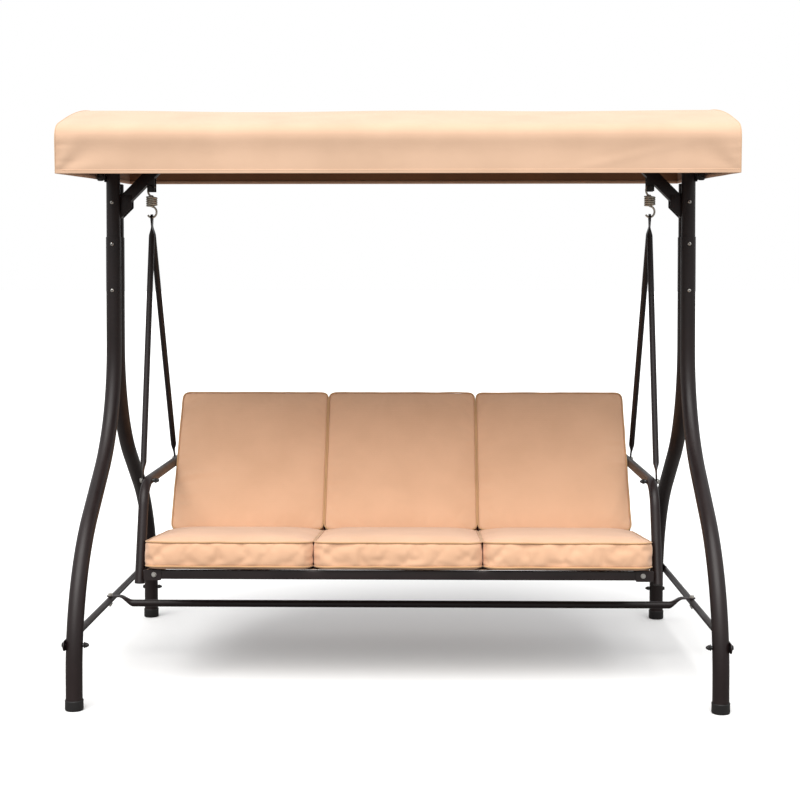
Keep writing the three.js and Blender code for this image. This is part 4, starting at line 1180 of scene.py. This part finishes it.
# Each fold: its start on a side seam, slope, length, width (in half sizes) and height in metres.
BACK_FOLDS = {
    "left": [(-1, -0.28, 0.10, 0.95, 0.035, 0.0054), (-1, 0.05, 0.02, 0.35, 0.022, 0.0034), (-1, -0.10, -0.03, 0.30, 0.020, 0.0031),
             (-1, -0.55, 0.05, 0.55, 0.026, 0.0034), (-1, -0.70, 0.02, 0.40, 0.020, 0.0026), (1, -0.35, 0.00, 0.25, 0.020, 0.0024),
             (-1, -0.42, 0.08, 0.45, 0.022, 0.0027)],
    "middle": [(-1, -0.32, -0.10, 0.40, 0.028, 0.0034), (-1, -0.50, 0.02, 0.30, 0.022, 0.0024), (1, 0.25, -0.05, 0.25, 0.022, 0.0022),
               (1, -0.60, 0.04, 0.30, 0.024, 0.0024)],
    "right": [(1, 0.28, -0.12, 0.45, 0.030, 0.0037), (1, 0.12, -0.06, 0.35, 0.024, 0.0034), (1, -0.05, -0.04, 0.45, 0.026, 0.0031),
              (1, -0.28, 0.02, 0.40, 0.024, 0.0029), (1, -0.48, 0.04, 0.32, 0.022, 0.0024), (-1, -0.45, 0.05, 0.35, 0.024, 0.0027),
              (-1, 0.60, -0.08, 0.30, 0.026, 0.0027)],
}
SEAT_FOLDS = {"left": [(-1, -0.4, 0.2, 0.3, 0.04, 0.0012)], "middle": [(1, -0.5, 0.1, 0.3, 0.04, 0.0012)],
              "right": [(1, -0.3, 0.1, 0.4, 0.04, 0.0014)]}
for number, place in enumerate(("left", "middle", "right"), start=1):
    seat_here = leaning(f"seat_cushion_{place}", SEAT_TILT)
    cushion(f"seat_cushion_{place}", seat_here, (cushion_width, *SEAT_SIZE), SEAT_CORNER, 0.001, 0.009, 0.010, 0.016,
            SEAT_FOLDS[place], number)
    back_here = leaning(f"back_cushion_{place}", BACK_LEAN) @ Matrix.Rotation(math.pi / 2, 4, "X")
    cushion(f"back_cushion_{place}", back_here, (cushion_width, *BACK_SIZE), BACK_CORNER, 0.003, 0.010, 0.007, 0.010,
            BACK_FOLDS[place], number + 3)
    print(f"{place} cushions sewn")

# %% [markdown]
# ## The canopy's tubes, brackets and knobs
# Three bowed tubes and two straight rails carry the cloth. A plate at each end hangs the frame on a
# bolt through the front post, and a fluted hand knob clamps it at the tilt the sitter wants.

# %% Canopy tubes
CANOPY_TILT = math.radians(2.1)
canopy_here = Matrix.Translation(pivot) @ Matrix.Rotation(CANOPY_TILT, 4, "X")
CANOPY_DEPTH, CANOPY_RISE = 1.092, 0.082
CANOPY_MIDDLE = 0.0275
HEM, EDGE = -0.0075, 0.125
SHOULDER = 0.037
HALF_DEPTH = CANOPY_DEPTH / 2
ARCH = (HALF_DEPTH ** 2 + CANOPY_RISE ** 2) / (2 * CANOPY_RISE)
half_width = extent("canopy_fabric").x / 2

def arch_z(radius, across):
    return EDGE + CANOPY_RISE - ARCH + math.sqrt(radius ** 2 - across ** 2)

def in_canopy(x, across, z):
    return canopy_here @ Vector((x, CANOPY_MIDDLE + across, z))

BOW_RADIUS = extent("canopy_bow_middle").x / 2
bow_line_radius = ARCH - 0.0135
bow_reach = 0.50915
for place in ("left", "middle", "right"):
    x = middle(f"canopy_bow_{place}").x
    line = [in_canopy(x, bow_reach * (k / 20 - 1), arch_z(bow_line_radius, bow_reach * (k / 20 - 1))) for k in range(41)]
    bow = tube(f"bent_bow_{place}", line, BOW_RADIUS, frame_paint, 0.0012)
    fit(bow, "canopy", f"canopy_bow_{place}")
for end_name in ENDS:
    node = f"canopy_rail_{end_name}"
    rail = tube(f"straight_{node}", cross_tips(node), BOW_RADIUS, frame_paint, 0.0012)
    fit(rail, "canopy", node)
    for side_name, side in SIDES.items():
        tip = middle(node) + Vector((side * (extent(node).x / 2 - 0.0016), 0, 0))
        end_plug(f"{node}_plug_{side_name}", tip, (side, 0, 0), BOW_RADIUS * 0.97, "canopy", 0.001)

# %% Knobs
def knob_piece(side_name, side):
    node = f"canopy_knob_{side_name}"
    low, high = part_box(node)
    inner_x, outer_x = (low.x, high.x) if side > 0 else (high.x, low.x)
    centre = middle(node)
    radius = extent(node).z / 2
    face_x = outer_x - side * 0.024
    profile = [(0.0, 0.74), (0.0008, 0.80), (0.004, 0.80), (0.0055, 0.86), (0.008, 0.98), (0.012, 1.0),
               (0.019, 1.0), (0.0222, 0.96), (0.0236, 0.86), (0.0239, 0.60), (0.0231, 0.50), (0.0231, 0.08)]
    turn = Vector((side, 0, 0)).to_track_quat("Z", "Y").to_matrix()
    sides = 64
    rings = []
    for height, share in profile:
        ring = []
        for k in range(sides):
            angle = 2 * math.pi * k / sides
            flute = 0.05 * (1 + math.cos(8 * angle)) if share > 0.9 else 0
            reach = radius * (share - flute)
            ring.append(turn @ Vector((reach * math.cos(angle), reach * math.sin(angle), height)) + Vector((face_x, centre.y, centre.z)))
        rings.append(ring)
    verts, faces = bridge(rings)
    body = new_piece("knob_body", verts, faces, black_plastic, 50)
    stud_profile = [(0.0036, 0), (0.004, 0.0006), (0.004, abs(face_x - inner_x) + 0.001)]
    stud = turned("stud", stud_profile, (inner_x, centre.y, centre.z), (side, 0, 0), zinc)
    knob = joined(f"fluted_knob_{side_name}", [body, stud], f"knob_{side_name}")
    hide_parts(node)

for side_name, side in SIDES.items():
    knob_piece(side_name, side)
print("canopy tubes and knobs made")

# %% [markdown]
# ## The canopy cloth
# The cover is one sewn sheet: a long panel that runs from the front hem over the bows to the rear hem,
# and an end panel at each side that fills its profile. It is drawn as one grid. The long panel
# follows the profile; each end is filled by blending its four edges. Then the cloth is let down: it
# sags a little between the bows, the free valance waves, and the end seams draw it into puckers.

# %% Profile of the cover
CLOTH_INSET = 0.0006
STEP = 0.0092

def profile_parts():
    half = HALF_DEPTH - CLOTH_INSET
    top_edge = EDGE - CLOTH_INSET
    rise_count = round((top_edge - SHOULDER - HEM) / STEP)
    front = [(-half, HEM + (top_edge - SHOULDER - HEM) * k / rise_count) for k in range(rise_count + 1)]
    radius = ARCH - CLOTH_INSET
    shoulder_end = (SHOULDER - half, arch_z(radius, half - SHOULDER))
    top = []
    for k in range(1, 6):
        t = k / 5
        start, control = (-half, top_edge - SHOULDER), (-half, top_edge)
        a, b, c = (1 - t) ** 2, 2 * t * (1 - t), t * t
        top.append((a * start[0] + b * control[0] + c * shoulder_end[0], a * start[1] + b * control[1] + c * shoulder_end[1]))
    arch_count = round(2 * (half - SHOULDER) / STEP / 2) * 2
    arch = [((half - SHOULDER) * (2 * k / arch_count - 1), 0) for k in range(1, arch_count)]
    arch = [(y, arch_z(radius, y)) for y, _ in arch]
    right_top = [(-y, z) for y, z in reversed(top)]
    rear = [(-y, z) for y, z in reversed(front)]
    return front, top + arch + right_top, rear

front_part, top_part, rear_part = profile_parts()
profile = front_part + top_part + rear_part
rise_rows = len(front_part)
LENGTH_CELLS = round(2 * half_width / STEP)
print(f"profile of {len(profile)} points, {sum(math.dist(profile[i], profile[i + 1]) for i in range(len(profile) - 1)):.3f} m long")

# %% How the cloth hangs
bow_x = abs(middle("canopy_bow_right").x)

def hang(x, across, z):
    """Moves a point of the taut cover to where the cloth hangs. All in the canopy's own frame."""
    share = (abs(x) % bow_x) / bow_x if abs(x) < bow_x else 0.0
    between = math.sin(math.pi * share) ** 2 if abs(x) < bow_x else 0.0
    on_top = ease((z - (EDGE - SHOULDER * 0.6)) / SHOULDER)
    off_rail = ease((HALF_DEPTH - abs(across)) / 0.22)
    place = Vector((x * 2.1, across * 3.0, z * 4.0))
    slack = noise.noise(place + Vector((3.0, 1.0, 5.0)))
    moved_z = z - on_top * between * (0.0030 * off_rail + 0.0010) - on_top * off_rail * 0.0015 * (slack + 0.5)
    hanging = ease((EDGE - SHOULDER * 0.4 - z) / (EDGE - HEM))
    front_or_rear = abs(across) > HALF_DEPTH - 0.012
    out = 0.0
    if front_or_rear:
        side = math.copysign(1, across)
        wave = 0.45 * math.sin(x * 7.3 + 1.1 * side) + 0.3 * math.sin(x * 13.7 + 2.0 + side) + 0.35 * slack
        down = (EDGE - z) / (EDGE - HEM)
        out = side * hanging * (0.0038 * wave - 0.0012)
        out -= side * 0.0035 * math.sin(math.pi * min(max(down, 0.0), 1.0)) ** 2 * ease((half_width - abs(x)) / 0.09)
        crease = (x - 0.62) * 0.25 - (z - 0.028) if side < 0 else 10
        out += side * hanging * 0.0022 * math.exp(-(crease / 0.009) ** 2) * ease((x - 0.15) / 0.3) * ease((0.93 - x) / 0.1) * ease((z - HEM) / 0.03)
        seam_gap = half_width - abs(x)
        tight = 1.0 if x < 0 else 0.55
        pull = math.exp(-seam_gap / 0.030)
        pucker = math.sin(2 * math.pi * z / 0.0280 + 2.5 * noise.noise(Vector((x * 8, across, z * 30))))
        fan = math.exp(-math.hypot(seam_gap - 0.03, z - HEM) / 0.11)
        ray = math.sin(7 * math.atan2(z - HEM + 0.006, seam_gap + 0.006) + 0.6)
        drawn = 0.0024 * pull * pucker * ease((EDGE - z) / 0.05) + 0.0040 * fan * ray * ease((z - HEM) / 0.03)
        out += side * tight * (drawn - 0.0010 * pull) * ease(seam_gap / 0.010)
    end_out = 0.0
    if abs(x) > half_width - 0.004:
        wave = 0.5 * math.sin(across * 9.0 + 0.8) + 0.4 * math.sin(across * 17.0) + 0.3 * slack
        inside = ease((HALF_DEPTH - abs(across)) / 0.12)
        end_out = math.copysign(1, x) * (hanging * 0.004 * wave - 0.002 * inside) * inside
    moved_x = math.copysign(min(abs(x + end_out), half_width - CLOTH_INSET), x)
    return in_canopy(moved_x, across + out, moved_z)

# %% Sew the cover
def canopy_cover():
    verts, faces, number = [], [], {}
    def point(key, x, across, z):
        if key not in number:
            number[key] = len(verts)
            verts.append(hang(x, across, z))
        return number[key]
    half = half_width - CLOTH_INSET
    for i in range(LENGTH_CELLS + 1):
        x = half * (2 * i / LENGTH_CELLS - 1)
        for j, (across, z) in enumerate(profile):
            point(("long", i, j), x, across, z)
    for i in range(LENGTH_CELLS):
        for j in range(len(profile) - 1):
            faces.append((number[("long", i, j)], number[("long", i + 1, j)],
                          number[("long", i + 1, j + 1)], number[("long", i, j + 1)]))
    last = len(profile) - 1
    top_count = last - 2 * (rise_rows - 1)
    for end, x in ((0, -half), (LENGTH_CELLS, half)):
        def edge_key(column, row):
            if column == 0:
                return ("long", end, row)
            if column == top_count:
                return ("long", end, last - row)
            if row == rise_rows - 1:
                return ("long", end, rise_rows - 1 + column)
            return None
        grid = []
        for column in range(top_count + 1):
            grid.append([])
            u = column / top_count
            for row in range(rise_rows):
                v = row / (rise_rows - 1)
                key = edge_key(column, row)
                if key is not None:
                    grid[-1].append(number[key])
                    continue
                left, right = profile[row], profile[last - row]
                low = (profile[0][0] * (1 - u) + profile[last][0] * u, HEM)
                high = profile[rise_rows - 1 + column]
                across = (1 - u) * left[0] + u * right[0] + (1 - v) * low[0] + v * high[0]
                z = (1 - u) * left[1] + u * right[1] + (1 - v) * low[1] + v * high[1]
                for weight, corner in (((1 - u) * (1 - v), profile[0]), (u * (1 - v), profile[last]),
                                       ((1 - u) * v, profile[rise_rows - 1]), (u * v, profile[last - rise_rows + 1])):
                    across -= weight * corner[0]
                    z -= weight * corner[1]
                grid[-1].append(point(("end", end, column, row), x, across, z))
        for column in range(top_count):
            for row in range(rise_rows - 1):
                faces.append((grid[column][row], grid[column][row + 1], grid[column + 1][row + 1], grid[column + 1][row]))
    return verts, faces

cover_verts, cover_faces = canopy_cover()
cover = new_piece("sewn_canopy", cover_verts, cover_faces, canopy_cloth, 75)
# The cloth's back face takes the dark brown that paints the shade under the canopy.
thickened(cover, 0.0012, -1.0, canopy_underside_painted_shade)
fit(cover, "canopy", "canopy_fabric")
print(f"cover of {len(cover.data.polygons)} faces")

# %% [markdown]
# ## Seams and hem of the canopy
# A felled seam runs round each end, and the lower edge is turned up into a hem and stitched. The seam
# is a thin raised cord, the hem a folded band that laps both faces, and the stitches are short
# rounded bars set end to end, all carried on the same hanging line as the cloth.

# %% Seams, hem and stitches
def seam_line(side):
    return [hang(side * (half_width - CLOTH_INSET), across, z) for across, z in profile]

def hem_loop(lift, steps_x=170, steps_y=95):
    half, deep = half_width - CLOTH_INSET, HALF_DEPTH - CLOTH_INSET
    loop = [hang(-half + 2 * half * k / steps_x, -deep, HEM + lift) for k in range(steps_x)]
    loop += [hang(half, -deep + 2 * deep * k / steps_y, HEM + lift) for k in range(steps_y)]
    loop += [hang(half - 2 * half * k / steps_x, deep, HEM + lift) for k in range(steps_x)]
    loop += [hang(-half, deep - 2 * deep * k / steps_y, HEM + lift) for k in range(steps_y)]
    return loop

def outward_at(loop, k):
    along = (loop[(k + 1) % len(loop)] - loop[k - 1]).normalized()
    return along.cross(canopy_here.to_3x3() @ Vector((0, 0, 1))).normalized()

def hem_band(height, lap):
    """A folded band: up the outer face, round the edge and up the inner face."""
    low, high = hem_loop(0.0), hem_loop(height)
    rows = []
    for k in range(len(low)):
        out = outward_at(low, k)
        up = (high[k] - low[k]).normalized()
        base, crest = low[k], high[k]
        inner = -out * (0.0012 + 2 * lap)
        rows.append([crest + out * lap * 0.2, crest - up * 0.001 + out * lap, base + out * lap,
                     base - up * lap * 1.5 + inner * 0.5, base + inner, crest + inner])
    rows.append(rows[0])
    return rows

hem = grid_piece("canopy_hem", hem_band(0.0105, 0.0005), canopy_cloth, 60)
thickened(hem, 0.0006)
seams = []
for side_name, side in SIDES.items():
    line = [p + Vector((side * 0.0004, 0, 0)) for p in seam_line(side)]
    seams.append(rod(f"canopy_seam_{side_name}", line, 0.0015, seam_cloth, 8))

def stitches(name, loop, pitch, length, thick):
    """Short rounded bars along a closed loop, a little proud of the cloth."""
    verts, faces = [], []
    carried = 0.0
    up = canopy_here.to_3x3() @ Vector((0, 0, 1))
    for k in range(len(loop)):
        start, after = loop[k], loop[(k + 1) % len(loop)]
        span = (after - start).length
        along = (after - start).normalized()
        out = along.cross(up).normalized()
        while carried < span:
            centre = start + along * carried + out * thick * 0.6
            base = len(verts)
            for reach, size in ((-0.5, 0.35), (-0.3, 1.0), (0.3, 1.0), (0.5, 0.35)):
                for a in range(6):
                    angle = math.pi * 2 * a / 6
                    verts.append(centre + along * length * reach + (out * math.cos(angle) + up * math.sin(angle)) * thick * size)
            for r in range(3):
                for a in range(6):
                    faces.append((base + r * 6 + a, base + r * 6 + (a + 1) % 6, base + (r + 1) * 6 + (a + 1) % 6, base + (r + 1) * 6 + a))
            faces.append(tuple(base + a for a in reversed(range(6))))
            faces.append(tuple(base + 18 + a for a in range(6)))
            carried += pitch
        carried -= span
    return new_piece(name, verts, faces, seam_cloth, 60)

stitch_loop = hem_loop(0.0085)
stitch_loop = [p + outward_at(stitch_loop, k) * 0.0009 for k, p in enumerate(stitch_loop)]
hem_stitches = stitches("canopy_stitching", stitch_loop, 0.0055, 0.0038, 0.0004)
for piece in (hem, hem_stitches, *seams):
    fit(piece, "canopy")
